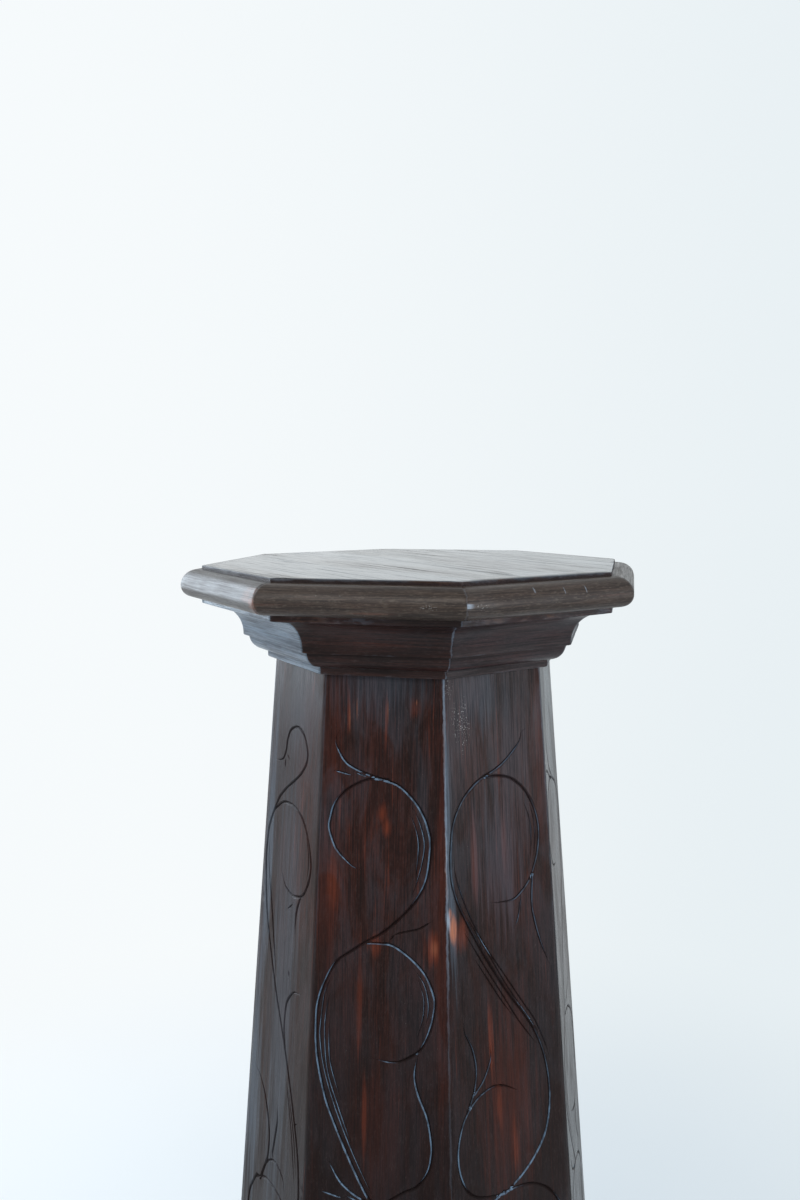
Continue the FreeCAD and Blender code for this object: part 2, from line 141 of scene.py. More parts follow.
class NodeBench:
    # short names for the shader nodes that the finishes are made of
    def __init__(self, owner):
        owner.use_nodes = True
        self.material = owner
        self.nodes, self.links = owner.node_tree.nodes, owner.node_tree.links
        self.shader = self.nodes.get("Principled BSDF")

    def add(self, kind, **settings):
        node = self.nodes.new(kind)
        for key, value in settings.items():
            setattr(node, key, value)
        return node

    def join(self, out, into):
        self.links.new(out, into)

    def attribute(self, name, part):
        return self.add("ShaderNodeAttribute", attribute_name=name).outputs[part]

    def noise(self, place, scale, detail=3.0, roughness=0.55, distortion=0.0, shift=(0, 0, 0)):
        mapping = self.add("ShaderNodeMapping")
        mapping.inputs["Location"].default_value = shift
        mapping.inputs["Scale"].default_value = scale
        self.join(place, mapping.inputs["Vector"])
        texture = self.add("ShaderNodeTexNoise")
        texture.inputs["Scale"].default_value = 1.0
        texture.inputs["Detail"].default_value = detail
        texture.inputs["Roughness"].default_value = roughness
        texture.inputs["Distortion"].default_value = distortion
        self.join(mapping.outputs["Vector"], texture.inputs["Vector"])
        return texture.outputs["Fac"]

    def remap(self, value, low, high, toLow=0.0, toHigh=1.0):
        node = self.add("ShaderNodeMapRange", interpolation_type="SMOOTHSTEP")
        for key, number in (("From Min", low), ("From Max", high), ("To Min", toLow), ("To Max", toHigh)):
            node.inputs[key].default_value = number
        self.join(value, node.inputs["Value"])
        return node.outputs["Result"]

    def maths(self, operation, a, b=None):
        node = self.add("ShaderNodeMath", operation=operation)
        for value, socket in ((a, node.inputs[0]), (b, node.inputs[1])):
            if value is None:
                continue
            if isinstance(value, (int, float)):
                socket.default_value = value
            else:
                self.join(value, socket)
        return node.outputs[0]

    def blend(self, share, first, second):
        node = self.add("ShaderNodeMix", data_type="RGBA", blend_type="MIX")
        for value, socket in ((share, node.inputs[0]), (first, node.inputs[6]), (second, node.inputs[7])):
            if isinstance(value, tuple):
                socket.default_value = (*value, 1)
            elif isinstance(value, (int, float)):
                socket.default_value = value
            else:
                self.join(value, socket)
        return node.outputs[2]

    def bump(self, height, distance, strength, after=None):
        node = self.add("ShaderNodeBump")
        node.inputs["Distance"].default_value = distance
        node.inputs["Strength"].default_value = strength
        self.join(height, node.inputs["Height"])
        if after is not None:
            self.join(after, node.inputs["Normal"])
        return node.outputs["Normal"]


stainColours = {
    "deep": (0.0085, 0.0048, 0.0046),
    "brown": (0.032, 0.0142, 0.0115),
    "red": (0.070, 0.0165, 0.0098),
    "bare": (0.135, 0.029, 0.013),
    "raw": (0.48, 0.17, 0.085),
    # painted bluish sheen
    "hazeSheen": (0.088, 0.108, 0.135),
    # painted side sheen
    "sheenTone": (0.088, 0.108, 0.135),
    "gritty": (0.055, 0.040, 0.038),
    # a painted bluish highlight on worn arrises
    "rubbedHighlight": (0.26, 0.32, 0.40),
    "warmRub": (0.17, 0.070, 0.028),
    # painted glint on one wall of each cut
    "cutGlint": (0.20, 0.30, 0.42),
    "fleck": (0.60, 0.58, 0.56),
    "chalk": (0.46, 0.54, 0.64),
}


def woodMarks(bench, look):
    # what the points carry, and the patterns that run with the board's grain
    marks = {"board": bench.attribute("board", "Vector")}
    for label in ("mitreGap", "rubAndHighlight", "cut", "arris", "cutGlint", "sideSheen"):
        marks[label] = bench.attribute(label, "Fac")
    board = marks["board"]
    marks["fibre"] = bench.noise(board, (22, 900, 900), 5, 0.75)
    marks["vein"] = bench.noise(board, look.get("vein", (8, 260, 260)), 4, 0.65, 0.0, (9.1, 0, 0))
    marks["streak"] = bench.noise(board, (9, 430, 300), 4, 0.60, 0.2, (3.1, 0, 0))
    marks["cloud"] = bench.noise(board, (9, 30, 26), 5, 0.6, 0.3, (0, 7.7, 0))
    marks["smudge"] = bench.noise(board, look["blotch"], 4, 0.6, 0.8, (5.7, 1.2, 0))
    marks["speck"] = bench.noise(board, (900, 1200, 1200), 2, 0.5)
    marks["grit"] = bench.noise(board, (240, 900, 900), 3, 0.7, 0.0, (2.2, 0, 4.4))
    marks["scuff"] = bench.noise(board, (90, 240, 240), 4, 0.65, 0.0, (1.7, 2.9, 0))
    place = bench.add("ShaderNodeSeparateXYZ")
    bench.join(bench.add("ShaderNodeTexCoord").outputs["Object"], place.inputs[0])
    marks["height"] = place.outputs["Z"]
    return marks


def placedSpots(bench, look, marks):
    # the places named in a look, as one share for each kind of spot
    ragged = bench.remap(marks["vein"], 0.3, 0.7, 0.35, -0.45)
    grainy = bench.remap(marks["fibre"], 0.25, 0.65, 0.35, 1.0)
    spots = {}
    for kind, centre, reach, strength in look["patches"]:
        offset = bench.add("ShaderNodeVectorMath", operation="SUBTRACT")
        bench.join(marks["board"], offset.inputs[0])
        offset.inputs[1].default_value = centre
        scaled = bench.add("ShaderNodeVectorMath", operation="DIVIDE")
        bench.join(offset.outputs[0], scaled.inputs[0])
        scaled.inputs[1].default_value = reach
        length = bench.add("ShaderNodeVectorMath", operation="LENGTH")
        bench.join(scaled.outputs[0], length.inputs[0])
        spot = bench.remap(bench.maths("ADD", length.outputs["Value"], ragged), 1.15, 0.1)
        spot = bench.maths("MULTIPLY", bench.maths("MULTIPLY", spot, grainy), strength)
        spots[kind] = bench.maths("MAXIMUM", spots[kind], spot) if kind in spots else spot
    return spots


def grainColour(bench, look, tones, marks):
    # the stain itself: dark in the grain, redder where it is thin, with painted shade darkening it towards
    # the bottom
    fibre, cloud, smudge, vein = marks["fibre"], marks["cloud"], marks["smudge"], marks["vein"]
    colour = bench.blend(bench.remap(fibre, 0.38, 0.62), tones["deep"], tones["brown"])
    warm = bench.maths("MULTIPLY", bench.remap(cloud, 0.36, 0.62), bench.remap(fibre, 0.38, 0.62, 0.25, 1.0))
    colour = bench.blend(bench.maths("MULTIPLY", warm, look["warm"]), colour, tones["red"])
    lines = bench.remap(marks["streak"], 0.60, 0.68)
    lines = bench.maths("MULTIPLY", lines, bench.remap(cloud, 0.36, 0.58, 0.1, 1.0))
    lines = bench.maths("MULTIPLY", lines, bench.remap(fibre, 0.38, 0.60, 0.35, 1.0))
    colour = bench.blend(bench.maths("MULTIPLY", lines, look["red"]), colour, tones["bare"])
    dark = bench.maths("MULTIPLY", bench.remap(smudge, 0.50, 0.70), look["smudge"])
    veinLow, veinHigh = look["veinRange"]
    veins = bench.maths("MULTIPLY", bench.remap(vein, veinHigh, veinLow), look["darkVein"])
    dark = bench.maths("MAXIMUM", dark, veins)
    # painted shade: darker towards the bottom
    dark = bench.maths("MAXIMUM", dark, bench.remap(marks["height"], 0.84, 0.52, 0.0, look["lowShade"]))
    colour = bench.blend(dark, colour, tones["deep"])
    colour = bench.blend(bench.remap(marks["grit"], 0.50, 0.34, 0.0, look["grit"]), colour, tones["deep"])
    return bench.blend(bench.remap(marks["grit"], 0.52, 0.70, 0.0, look["grit"]), colour, tones["gritty"])


def thinStainAndSheen(bench, look, tones, marks, spots, colour):
    # the stain worn thin, with a painted bluish sheen and a painted side sheen laid over it
    fibre, smudge, height = marks["fibre"], marks["smudge"], marks["height"]
    if "red" in spots:
        colour = bench.blend(spots["red"], colour, tones["red"])
    colour = bench.blend(marks["bare"], colour, tones["bare"])
    # painted bluish sheen, stronger towards the top
    hazeSheen = bench.maths("MULTIPLY", bench.remap(smudge, 0.60, 0.36), bench.remap(fibre, 0.3, 0.7, 0.45, 1.0))
    hazeSheen = bench.maths("MULTIPLY", hazeSheen, bench.remap(height, 0.60, 0.96, look["hazeSheen"] * 0.3, look["hazeSheen"]))
    # pale patches: more painted sheen
    if "pale" in spots:
        hazeSheen = bench.maths("MAXIMUM", hazeSheen, spots["pale"])
    colour = bench.blend(hazeSheen, colour, tones["hazeSheen"])
    # painted side sheen, weaker towards the bottom
    sheenTone = bench.maths("MULTIPLY", marks["sideSheen"], bench.remap(fibre, 0.34, 0.62, 0.40, 1.0))
    sheenTone = bench.maths("MULTIPLY", sheenTone, bench.remap(smudge, 0.66, 0.40, 0.6, 1.0))
    sheenTone = bench.maths("MULTIPLY", sheenTone, bench.remap(height, 0.74, 0.97, look["lowSheen"], 1.0))
    colour = bench.blend(sheenTone, colour, tones["sheenTone"])
    for kind in ("raw", "chalk"):
        if kind in spots:
            colour = bench.blend(spots[kind], colour, tones[kind])
    return colour


def wornColour(bench, look, tones, marks, spots, colour):
    # worn corners and arrises, tinted with a painted bluish highlight; dust; painted shade in cuts and
    # creases; and a painted glint on one wall of each cut
    cloud, scuff, speck = marks["cloud"], marks["scuff"], marks["speck"]
    worn = bench.maths("ADD", marks["mitreGap"], bench.remap(scuff, 0.35, 0.75, 0.0005, -0.0005))
    edge = bench.maths("MULTIPLY", bench.remap(worn, look["edgeReach"], 0.0002), marks["rubAndHighlight"])
    crest = bench.maths("ADD", marks["arris"], bench.remap(scuff, 0.40, 0.70, -0.45, 0.20))
    crest = bench.remap(crest, 0.60, 1.05)
    crest = bench.maths("MULTIPLY", crest, bench.remap(cloud, 0.45, 0.62, 0.0, look["arrisRubAndHighlight"]))
    edge = bench.maths("MAXIMUM", bench.maths("MULTIPLY", edge, look["edgeRubAndHighlight"]), crest)
    # the rubbed tint: warm bare wood, and a painted bluish highlight on the arris
    tint = bench.blend(bench.remap(cloud, 0.50, 0.66), tones["rubbedHighlight"], tones["warmRub"])
    colour = bench.blend(edge, colour, tint)
    flecks = bench.maths("MULTIPLY", bench.remap(speck, 0.745, 0.79),
                         bench.remap(marks["smudge"], 0.50, 0.36, 0.0, look["specks"]))
    if "dusty" in spots:
        dust = bench.maths("MULTIPLY", bench.remap(speck, 0.60, 0.70), spots["dusty"])
        flecks = bench.maths("MAXIMUM", flecks, dust)
    colour = bench.blend(flecks, colour, tones["fleck"])
    # painted shade darkens the cuts, the creases and the panel's rim
    colour = bench.blend(bench.maths("MULTIPLY", marks["cut"], 0.85), colour, tones["deep"])
    # painted glint: a bluish highlight on the lit wall of each cut
    glinted = bench.remap(bench.maths("MULTIPLY", marks["cutGlint"], marks["cut"]), 0.10, 0.24)
    glinted = bench.maths("MULTIPLY", glinted, bench.remap(scuff, 0.35, 0.60, 0.25, 0.8))
    return bench.blend(glinted, colour, tones["cutGlint"])


def woodShine(bench, look, marks):
    # the sheen lies in streaks along the grain
    veinLow, veinHigh = look["veinRange"]
    rough = bench.remap(marks["fibre"], 0.34, 0.66, look["rough"] + 0.10, look["rough"] - 0.06)
    for share, amount in (
        (bench.remap(marks["smudge"], 0.40, 0.65), look["dull"]), (marks["bare"], 0.2), (marks["cut"], 0.3),
        (bench.remap(marks["vein"], veinHigh, veinLow), look["veinDull"]),
    ):
        rough = bench.maths("ADD", rough, bench.maths("MULTIPLY", share, amount))
    bench.join(rough, bench.shader.inputs["Roughness"])
    bench.shader.inputs["Specular IOR Level"].default_value = look["gloss"]
    bench.shader.inputs["IOR"].default_value = 1.5


def woodRelief(bench, look, marks):
    relief = bench.noise(marks["board"], (70, 2300, 2300), 2, 0.5, 0.0, (0.4, 0, 0))
    relief = bench.maths("ADD", marks["fibre"], bench.maths("MULTIPLY", relief, 0.35))
    relief = bench.maths("ADD", relief, bench.maths("MULTIPLY", marks["scuff"], 0.5))
    relief = bench.maths("ADD", relief, bench.maths("MULTIPLY", marks["vein"], 0.8))
    bench.join(bench.bump(relief, look["relief"], 0.8), bench.shader.inputs["Normal"])


def makeStain(name, look):
    bench = NodeBench(bpy.data.materials.new(name))
    tones = {**stainColours, **look.get("tones", {})}
    marks = woodMarks(bench, look)
    spots = placedSpots(bench, look, marks)
    thin = bench.remap(marks["vein"], 0.64, 0.74)
    thin = bench.maths("MULTIPLY", thin, bench.remap(marks["smudge"], 0.44, 0.34))
    marks["bare"] = bench.maths("MULTIPLY", thin, look["bare"])
    if "bare" in spots:
        marks["bare"] = bench.maths("MAXIMUM", marks["bare"], spots["bare"])
    colour = grainColour(bench, look, tones, marks)
    colour = thinStainAndSheen(bench, look, tones, marks, spots, colour)
    colour = wornColour(bench, look, tones, marks, spots, colour)
    bench.join(colour, bench.shader.inputs["Base Color"])
    woodShine(bench, look, marks)
    woodRelief(bench, look, marks)
    return bench.material


def sideShift(side):
    # where a side's wood lies in the grain pattern, so that no two boards match
    return Vector((2.3 * side, 0.41 * side, 0.17 * side))


def columnPatch(kind, side, across, depth, wide, long, strength):
    # a place on the column, named by a kind that the stain knows: worn or stained (bare, dusty, red, raw or
    # chalk), or a patch of painted sheen (pale): millimetres across the face and below the top
    centre = Vector((depth * mm, across * mm, 0)) + sideShift(side)
    return (kind, centre, (long * mm, wide * mm, 1), strength)


columnLook = {
    "blotch": (14, 40, 34), "veinRange": (0.36, 0.46),
    "warm": 0.44, "red": 0.66, "smudge": 0.60, "darkVein": 0.35, "lowShade": 0.86, "grit": 0.25, "bare": 0.35,
    "hazeSheen": 0.24, "lowSheen": 0.2, "edgeReach": 0.0015, "edgeRubAndHighlight": 0.85, "arrisRubAndHighlight": 0.0, "specks": 0.35,
    "rough": 0.27, "dull": 0.08, "veinDull": 0.06, "gloss": 0.080, "relief": 0.00007,
    "tones": {"sheenTone": (0.150, 0.162, 0.168)},
    "patches": [
        columnPatch("bare", 1, 0, 166, 4, 9, 0.9), columnPatch("bare", 1, 3, 175, 4, 8, 0.9),
        columnPatch("bare", 1, -35, 218, 6, 22, 0.55), columnPatch("bare", 1, -5, 258, 7, 9, 0.6),
        columnPatch("bare", 1, 37, 256, 5, 12, 1.0), columnPatch("raw", 1, 38, 256, 2.5, 6, 0.22),
        columnPatch("bare", 1, -14, 300, 2.5, 45, 0.5), columnPatch("bare", 1, -10, 380, 2.5, 30, 0.6),
        columnPatch("raw", 1, -24, 102, 0.5, 10, 0.28), columnPatch("bare", 1, -25, 98, 1.4, 18, 0.7),
        columnPatch("raw", 1, -19, 94, 0.5, 8, 0.22), columnPatch("raw", 1, 3, 95, 0.5, 9, 0.28),
        columnPatch("bare", 1, 2, 100, 1.3, 20, 0.7), columnPatch("raw", 1, 23, 88, 0.9, 2.5, 0.30),
        columnPatch("bare", 1, 22, 92, 4, 9, 0.5), columnPatch("raw", 2, -42, 243, 3.2, 9, 0.8),
        columnPatch("bare", 2, -36, 248, 6, 14, 0.8), columnPatch("chalk", 2, -46, 236, 1.6, 9, 0.7),
        columnPatch("raw", 2, -41, 66, 4, 1.5, 0.5), columnPatch("chalk", 2, -36, 67, 3, 1.5, 0.5),
        columnPatch("bare", 2, -14, 325, 2.5, 28, 0.8), columnPatch("raw", 2, -44, 232, 1.4, 4, 0.6),
        columnPatch("bare", 2, -9, 378, 2.5, 22, 0.7), columnPatch("bare", 2, 5, 415, 3, 26, 0.7),
        columnPatch("bare", 2, -22, 200, 3, 30, 0.5), columnPatch("bare", 2, 4, 190, 3, 26, 0.45),
        columnPatch("pale", 2, -45, 150, 9, 125, 1.0), columnPatch("pale", 2, -16, 85, 26, 32, 0.40),
        columnPatch("pale", 2, 14, 130, 20, 80, 0.25), columnPatch("pale", 2, 0, 200, 26, 60, 0.36),
        columnPatch("pale", 1, -2, 76, 38, 26, 0.40), columnPatch("dusty", 2, -29, 103, 9, 18, 0.9),
        columnPatch("dusty", 2, -40, 78, 6, 9, 0.8), columnPatch("red", 1, 43, 240, 7, 150, 0.45),
        columnPatch("red", 1, -40, 225, 12, 60, 0.5), columnPatch("red", 1, -36, 110, 10, 60, 0.35),
        columnPatch("red", 1, 2, 390, 22, 60, 0.25), columnPatch("red", 2, 38, 130, 9, 90, 0.55),
        columnPatch("red", 2, 0, 380, 26, 90, 0.6), columnPatch("red", 2, 0, 220, 22, 50, 0.35),
        columnPatch("pale", 8, -38, 220, 12, 160, 0.8), columnPatch("pale", 8, -44, 420, 14, 120, 0.7),
        columnPatch("pale", 8, 0, 330, 26, 220, 0.40), columnPatch("pale", 8, 6, 110, 30, 50, 0.30),
    ],
}
trimLook = {
    "blotch": (14, 40, 34), "veinRange": (0.36, 0.46),
    "warm": 0.34, "red": 0.30, "smudge": 0.50, "darkVein": 0.35, "lowShade": 0.2, "grit": 0.4, "bare": 0.2,
    "hazeSheen": 0.05, "lowSheen": 0.7, "edgeReach": 0.0012, "edgeRubAndHighlight": 0.42, "arrisRubAndHighlight": 0.28, "specks": 0.3,
    "rough": 0.30, "dull": 0.10, "veinDull": 0.08, "gloss": 0.15, "relief": 0.00008,
    "tones": {"sheenTone": (0.195, 0.250, 0.310)},
    "patches": [],
}


def stripPatch(kind, side, along, below, long, high, strength):
    # a worn place on the edge strip: millimetres along the side and below the strip's top
    centre = Vector((along * mm, -stripLow.y, stripHigh.z - below * mm)) + sideShift(side)
    return (kind, centre, (long * mm, 0.03, high * mm), strength)


stripLook = {
    **trimLook, "warm": 0.12, "red": 0.2, "hazeSheen": 0.06, "grit": 0.55, "smudge": 0.35, "edgeRubAndHighlight": 0.12,
    "arrisRubAndHighlight": 0.0, "specks": 0.6, "rough": 0.30, "gloss": 0.17, "relief": 0.00010, "vein": (14, 420, 420),
    "tones": {
        "brown": (0.066, 0.047, 0.036), "deep": (0.024, 0.0170, 0.0140), "hazeSheen": (0.13, 0.135, 0.142),
        "sheenTone": (0.105, 0.105, 0.106), "gritty": (0.105, 0.082, 0.066),
    },
    "patches": [
        stripPatch("raw", 8, 66, 12, 6, 9, 0.30), stripPatch("raw", 8, 58, 8, 9, 5, 0.20),
        stripPatch("raw", 1, -70, 14, 3, 6, 0.25), stripPatch("chalk", 2, -71, 13.5, 1.8, 6, 0.8),
        stripPatch("chalk", 2, -68, 10.5, 5, 2.6, 0.7), stripPatch("dusty", 2, -58, 11, 5, 3, 1.0),
        stripPatch("chalk", 2, 9, 6, 0.5, 3, 0.35), stripPatch("chalk", 2, 27, 6, 0.5, 3, 0.45),
        stripPatch("chalk", 2, -15, 4, 0.8, 2, 0.35), stripPatch("raw", 2, 69, 12, 1.2, 2, 0.7),
        stripPatch("dusty", 1, 45, 12, 5, 3, 0.7), stripPatch("raw", 1, 10, 17, 22, 1.2, 0.15),
    ],
}
# the top's bluish tone is a painted reflection of the room
topLook = {
    "blotch": (3, 20, 20), "vein": (5, 420, 420), "veinRange": (0.37, 0.42),
    "warm": 0.1, "red": 0.2, "smudge": 0.15, "darkVein": 0.85, "lowShade": 0.0, "grit": 0.3, "bare": 0.1,
    "hazeSheen": 1.0, "lowSheen": 1.0, "edgeReach": 0.0014, "edgeRubAndHighlight": 0.30, "arrisRubAndHighlight": 0.3, "specks": 0.2,
    "rough": 0.10, "dull": 0.05, "veinDull": 0.42, "gloss": 0.58, "relief": 0.00004,
    "tones": {"hazeSheen": (0.092, 0.110, 0.125), "brown": (0.062, 0.054, 0.050), "deep": (0.020, 0.0165, 0.0155)},
    "patches": [],
}

# how rubbed each corner is, and how strong the painted highlight on it; corner 1 is at the left of side 1
cornerRubAndHighlight = {1: 0.08, 2: 0.95, 3: 0.25, 4: 0.3, 5: 0.6, 6: 0.35, 7: 0.5, 8: 0.15}

# painted sheen on each side, lighter on the sides where the light falls: the column, and the mouldings above
# and below it
sideSheenColumn = {1: 0.0, 2: 0.10, 3: 1.0, 4: 0.12, 5: 0.08, 6: 0.12, 7: 0.08, 8: 0.02}
sideSheenTrim = {1: 0.0, 2: 0.05, 3: 0.3, 4: 0.2, 5: 0.1, 6: 0.2, 7: 0.5, 8: 1.0}


def cornerShare(corner, along):
    # how rubbed a corner is, with its painted highlight, at a place along it
    patchy = 0.60 + 0.40 * soften(wander(along * 14, corner * 3.1, 7.0), -0.25, 0.35)
    return cornerRubAndHighlight[corner] * patchy * (0.16 + 0.84 * soften(along, 0.70, 0.80))


columnWood = makeStain("columnWood", columnLook)
trimWood = makeStain("trimWood", trimLook)
stripWood = makeStain("stripWood", stripLook)
topWood = makeStain("topWood", topLook)

innerLook = {"light": (0.44, 0.30, 0.17), "dark": (0.26, 0.15, 0.075), "rough": 0.62}


def makeBareWood(name, grain):
    # unfinished boards inside and underneath
    bench = NodeBench(bpy.data.materials.new(name))
    place = bench.add("ShaderNodeTexCoord").outputs["Object"]
    rings = bench.noise(place, tuple(90 if g == 0 else 4 for g in grain), 4, 0.6, 0.6)
    fibre = bench.noise(place, tuple(900 if g == 0 else 25 for g in grain), 2, 0.5)
    colour = bench.blend(bench.remap(rings, 0.35, 0.65), innerLook["dark"], innerLook["light"])
    colour = bench.blend(bench.remap(fibre, 0.3, 0.7, 0.0, 0.35), colour, innerLook["dark"])
    bench.join(colour, bench.shader.inputs["Base Color"])
    rough = bench.remap(fibre, 0.3, 0.7, innerLook["rough"], innerLook["rough"] + 0.15)
    bench.join(rough, bench.shader.inputs["Roughness"])
    bench.join(bench.bump(fibre, 0.0002, 0.6), bench.shader.inputs["Normal"])
    return bench.material


steelLook = {"clean": (0.50, 0.49, 0.47), "grimy": (0.22, 0.19, 0.16), "smooth": 0.28, "rough": 0.55}


def makeSteel(name, scale):
    bench = NodeBench(bpy.data.materials.new(name))
    place = bench.add("ShaderNodeTexCoord").outputs["Object"]
    grime = bench.noise(place, (scale, scale, scale), 3, 0.6)
    colour = bench.blend(bench.remap(grime, 0.35, 0.7), steelLook["clean"], steelLook["grimy"])
    bench.join(colour, bench.shader.inputs["Base Color"])
    rough = bench.remap(grime, 0.3, 0.7, steelLook["smooth"], steelLook["rough"])
    bench.join(rough, bench.shader.inputs["Roughness"])
    bench.shader.inputs["Metallic"].default_value = 1.0
    return bench.material


# which way the grain runs in the inner boards, and how fine the grime is on the steel
innerWood = {
    "top_former": (1, 0, 0), "middle_former": (1, 0, 0), "base_board": (0, 1, 0),
    "corner_blocks": (0, 0, 1), "stave_tongues": (0, 0, 1),
}
innerSteel = {
    "top_screws": 400, "base_screws": 400, "top_edge_brads": 900, "crown_brads": 900, "base_brads": 900,
}
for node, grain in innerWood.items():
    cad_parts[node].data.materials.clear()
    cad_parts[node].data.materials.append(makeBareWood(node + "Wood", grain))
for node, scale in innerSteel.items():
    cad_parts[node].data.materials.clear()
    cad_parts[node].data.materials.append(makeSteel(node + "Steel", scale))
print("finishes made")


def runStations(longest, finest=0.5 * mm, step=9 * mm):
    # distances from the mitre at which the section is drawn: close together at the worn ends
    gaps, gap = [0.0], finest
    while gap < longest:
        gaps.append(gap)
        gap += max(min(gap * 0.9, step), finest)
    return gaps


def runPiece(name, side, section, wear, material, slotName, node):
    # section: closed outline of (distance from the axis, height), the outside going upwards
    verts, traits, faces = [], [], []
    outer = max(point[0] for point in section)
    inner = min(point[0] for point in section)
    gaps = runStations(outer * mitreSlope)
    stations = [(-1, g) for g in gaps] + [(1, g) for g in reversed(gaps)]
    count = len(section)
    shift = sideShift(side)
    normals, arrises, creaseShade = [], [], []
    for i, point in enumerate(section):
        into = (Vector(point) - Vector(section[i - 1])).normalized()
        out = (Vector(section[(i + 1) % count]) - Vector(point)).normalized()
        along = (into + out).normalized()
        normals.append(Vector((along.y, -along.x)))
        upright = abs(along.x) < 0.2
        tucked = into.dot(out) < 0.8 and point[0] < outer - 4 * mm  # a bend well back from the nose
        # painted shade on upright faces and in bends tucked back from the nose
        creaseShade.append(wear["creaseShade"] if upright or tucked else 0.0)
        turn = into.x * out.y - into.y * out.x
        arrises.append(1.0 if turn > 0.4 and point[0] > inner + wear["skin"] else 0.0)
    for end, gap in stations:
        corner = side if end < 0 else side % sides + 1
        for i, (r, z) in enumerate(section):
            half = r * mitreSlope
            y = end * half * (1 - gap / (outer * mitreSlope))
            shows = soften(r, inner + 0.3 * wear["skin"], inner + wear["skin"])
            worn = wear["round"] * (0.75 + 0.7 * wander(z * 260, corner * 5.1, 3.0))
            pull = worn * (1 - soften(gap, 0, wear["roundWide"])) ** 2
            wave = wear["wave"] * (0.5 + 0.5 * wander(y * 34 + side * 9.7, i * 0.35, z * 60))
            dent = wear["dent"] * soften(wander(y * 150 + side * 3.3, i * 0.9, z * 210), 0.42, 0.75)
            inward = (pull + wave + dent) * shows
            rr, zz = r - normals[i].x * inward, z - normals[i].y * inward
            verts.append((rr, y * (rr / r) if gap == 0 else y, zz))
            place = Vector((y, r, z)) + shift
            traits.append((place, half - abs(y), cornerShare(corner, z), creaseShade[i], arrises[i], 0.0,
                           sideSheenTrim[side]))
    for n in range(len(stations) - 1):
        for i in range(count):
            j = (i + 1) % count
            faces.append((n * count + i, (n + 1) * count + i, (n + 1) * count + j, n * count + j))
    # the mitred ends
    flat, _, triangles, origins, _, _ = delaunay_2d_cdt(
        [Vector(p) for p in section], [], [list(range(count))], 1, 1e-7)
    source = [sources[0] for sources in origins]
    last = (len(stations) - 1) * count
    for triangle in triangles:
        ordered = [source[i] for i in (triangle if winding(flat, triangle) > 0 else reversed(triangle))]
        faces.append(tuple(ordered))
        faces.append(tuple(last + i for i in reversed(ordered)))
    makePiece(name, verts, faces, traits, side, material, slotName, node)


def subdivide(section, step):
    # adds points to the long straight stretches, so that wear can follow them
    points = []
    for i, point in enumerate(section):
        following = section[(i + 1) % len(section)]
        length = math.dist(point, following)
        pieces = max(1, int(length / step))
        for n in range(pieces):
            t = n / pieces
            out = point[0] + (following[0] - point[0]) * t
            up = point[1] + (following[1] - point[1]) * t
            points.append((out, up))
    return points


# how much the mouldings are worn, and how dark the painted shade in their creases is
trimWear = {"round": 0.55 * mm, "roundWide": 1.8 * mm, "wave": 0.12 * mm, "dent": 0.35 * mm, "skin": 2 * mm,
            "creaseShade": 0.4}
stripWear = {**trimWear, "round": 0.7 * mm, "creaseShade": 0.0}

stripShape = {"upper": 12 * mm, "lower": 8.6 * mm}  # the nose's two roundings


def stripSection():
    s = stripShape
    inner, outer = panelHigh.x, -stripLow.y
    low, high = stripLow.z, stripHigh.z
    nose = (outer - s["upper"], high - s["upper"])
    points = [(inner, low)]
    points += arc((outer - s["lower"], nose[1]), s["lower"], -90, 0, 9)
    points += arc(nose, s["upper"], 0, 90, 13)[1:]
    points += [(inner, high)]
    return subdivide(points, 3 * mm)


crownShape = {
    "fillet": 4.8 * mm, "soffit": 15 * mm, "fall": 2.8 * mm, "cove": 22 * mm, "reach": 12.9 * mm,
    "foot": 2 * mm, "ledge": 3.9 * mm, "ovolo": 11.7 * mm, "arris": 0.35 * mm,
}


def crownSection():
    c = crownShape
    low, high, outer = crownLow.z, crownHigh.z, -crownLow.y
    coveMouth = outer - c["soffit"]
    coveFoot = coveMouth - c["reach"]
    coveTop = high - c["fillet"] - c["fall"]
    turned = math.degrees(math.acos((c["cove"] - c["reach"]) / c["cove"]))
    coveEnd = coveTop - c["cove"] * math.sin(math.radians(turned))
    ovoloFace = coveFoot - c["ledge"]
    ovoloTop = coveEnd - c["foot"]
    soft = c["arris"]
    points = [(columnFace(low), low)]
    points += arc((ovoloFace - c["ovolo"], ovoloTop), c["ovolo"], -90, -2, 10)
    points += [(ovoloFace, ovoloTop), (coveFoot - soft, ovoloTop), (coveFoot, ovoloTop + soft)]
    points += arc((coveFoot + c["cove"], coveEnd), c["cove"], 180, 180 - turned, 10)
    points += [(outer - soft, high - c["fillet"] - 0.05 * mm), (outer, high - c["fillet"] + soft)]
    points += [(outer, high), (columnFace(high), high)]
    return subdivide(points, 3.2 * mm)


bandShape = {"arris": 0.45 * mm}


def bandSection():
    low, high, outer = bandLow.z, bandHigh.z, -bandLow.y
    soft = bandShape["arris"]
    points = [(columnFace(low), low), (outer - soft, low), (outer, low + soft)]
    points += [(outer, high), (columnFace(high), high)]
    return subdivide(points, 2.5 * mm)


baseShape = {
    "fillet": 6 * mm, "shelf": 3 * mm, "cove": 14 * mm, "band": 5 * mm, "step": 1.2 * mm, "arris": 0.4 * mm,
}


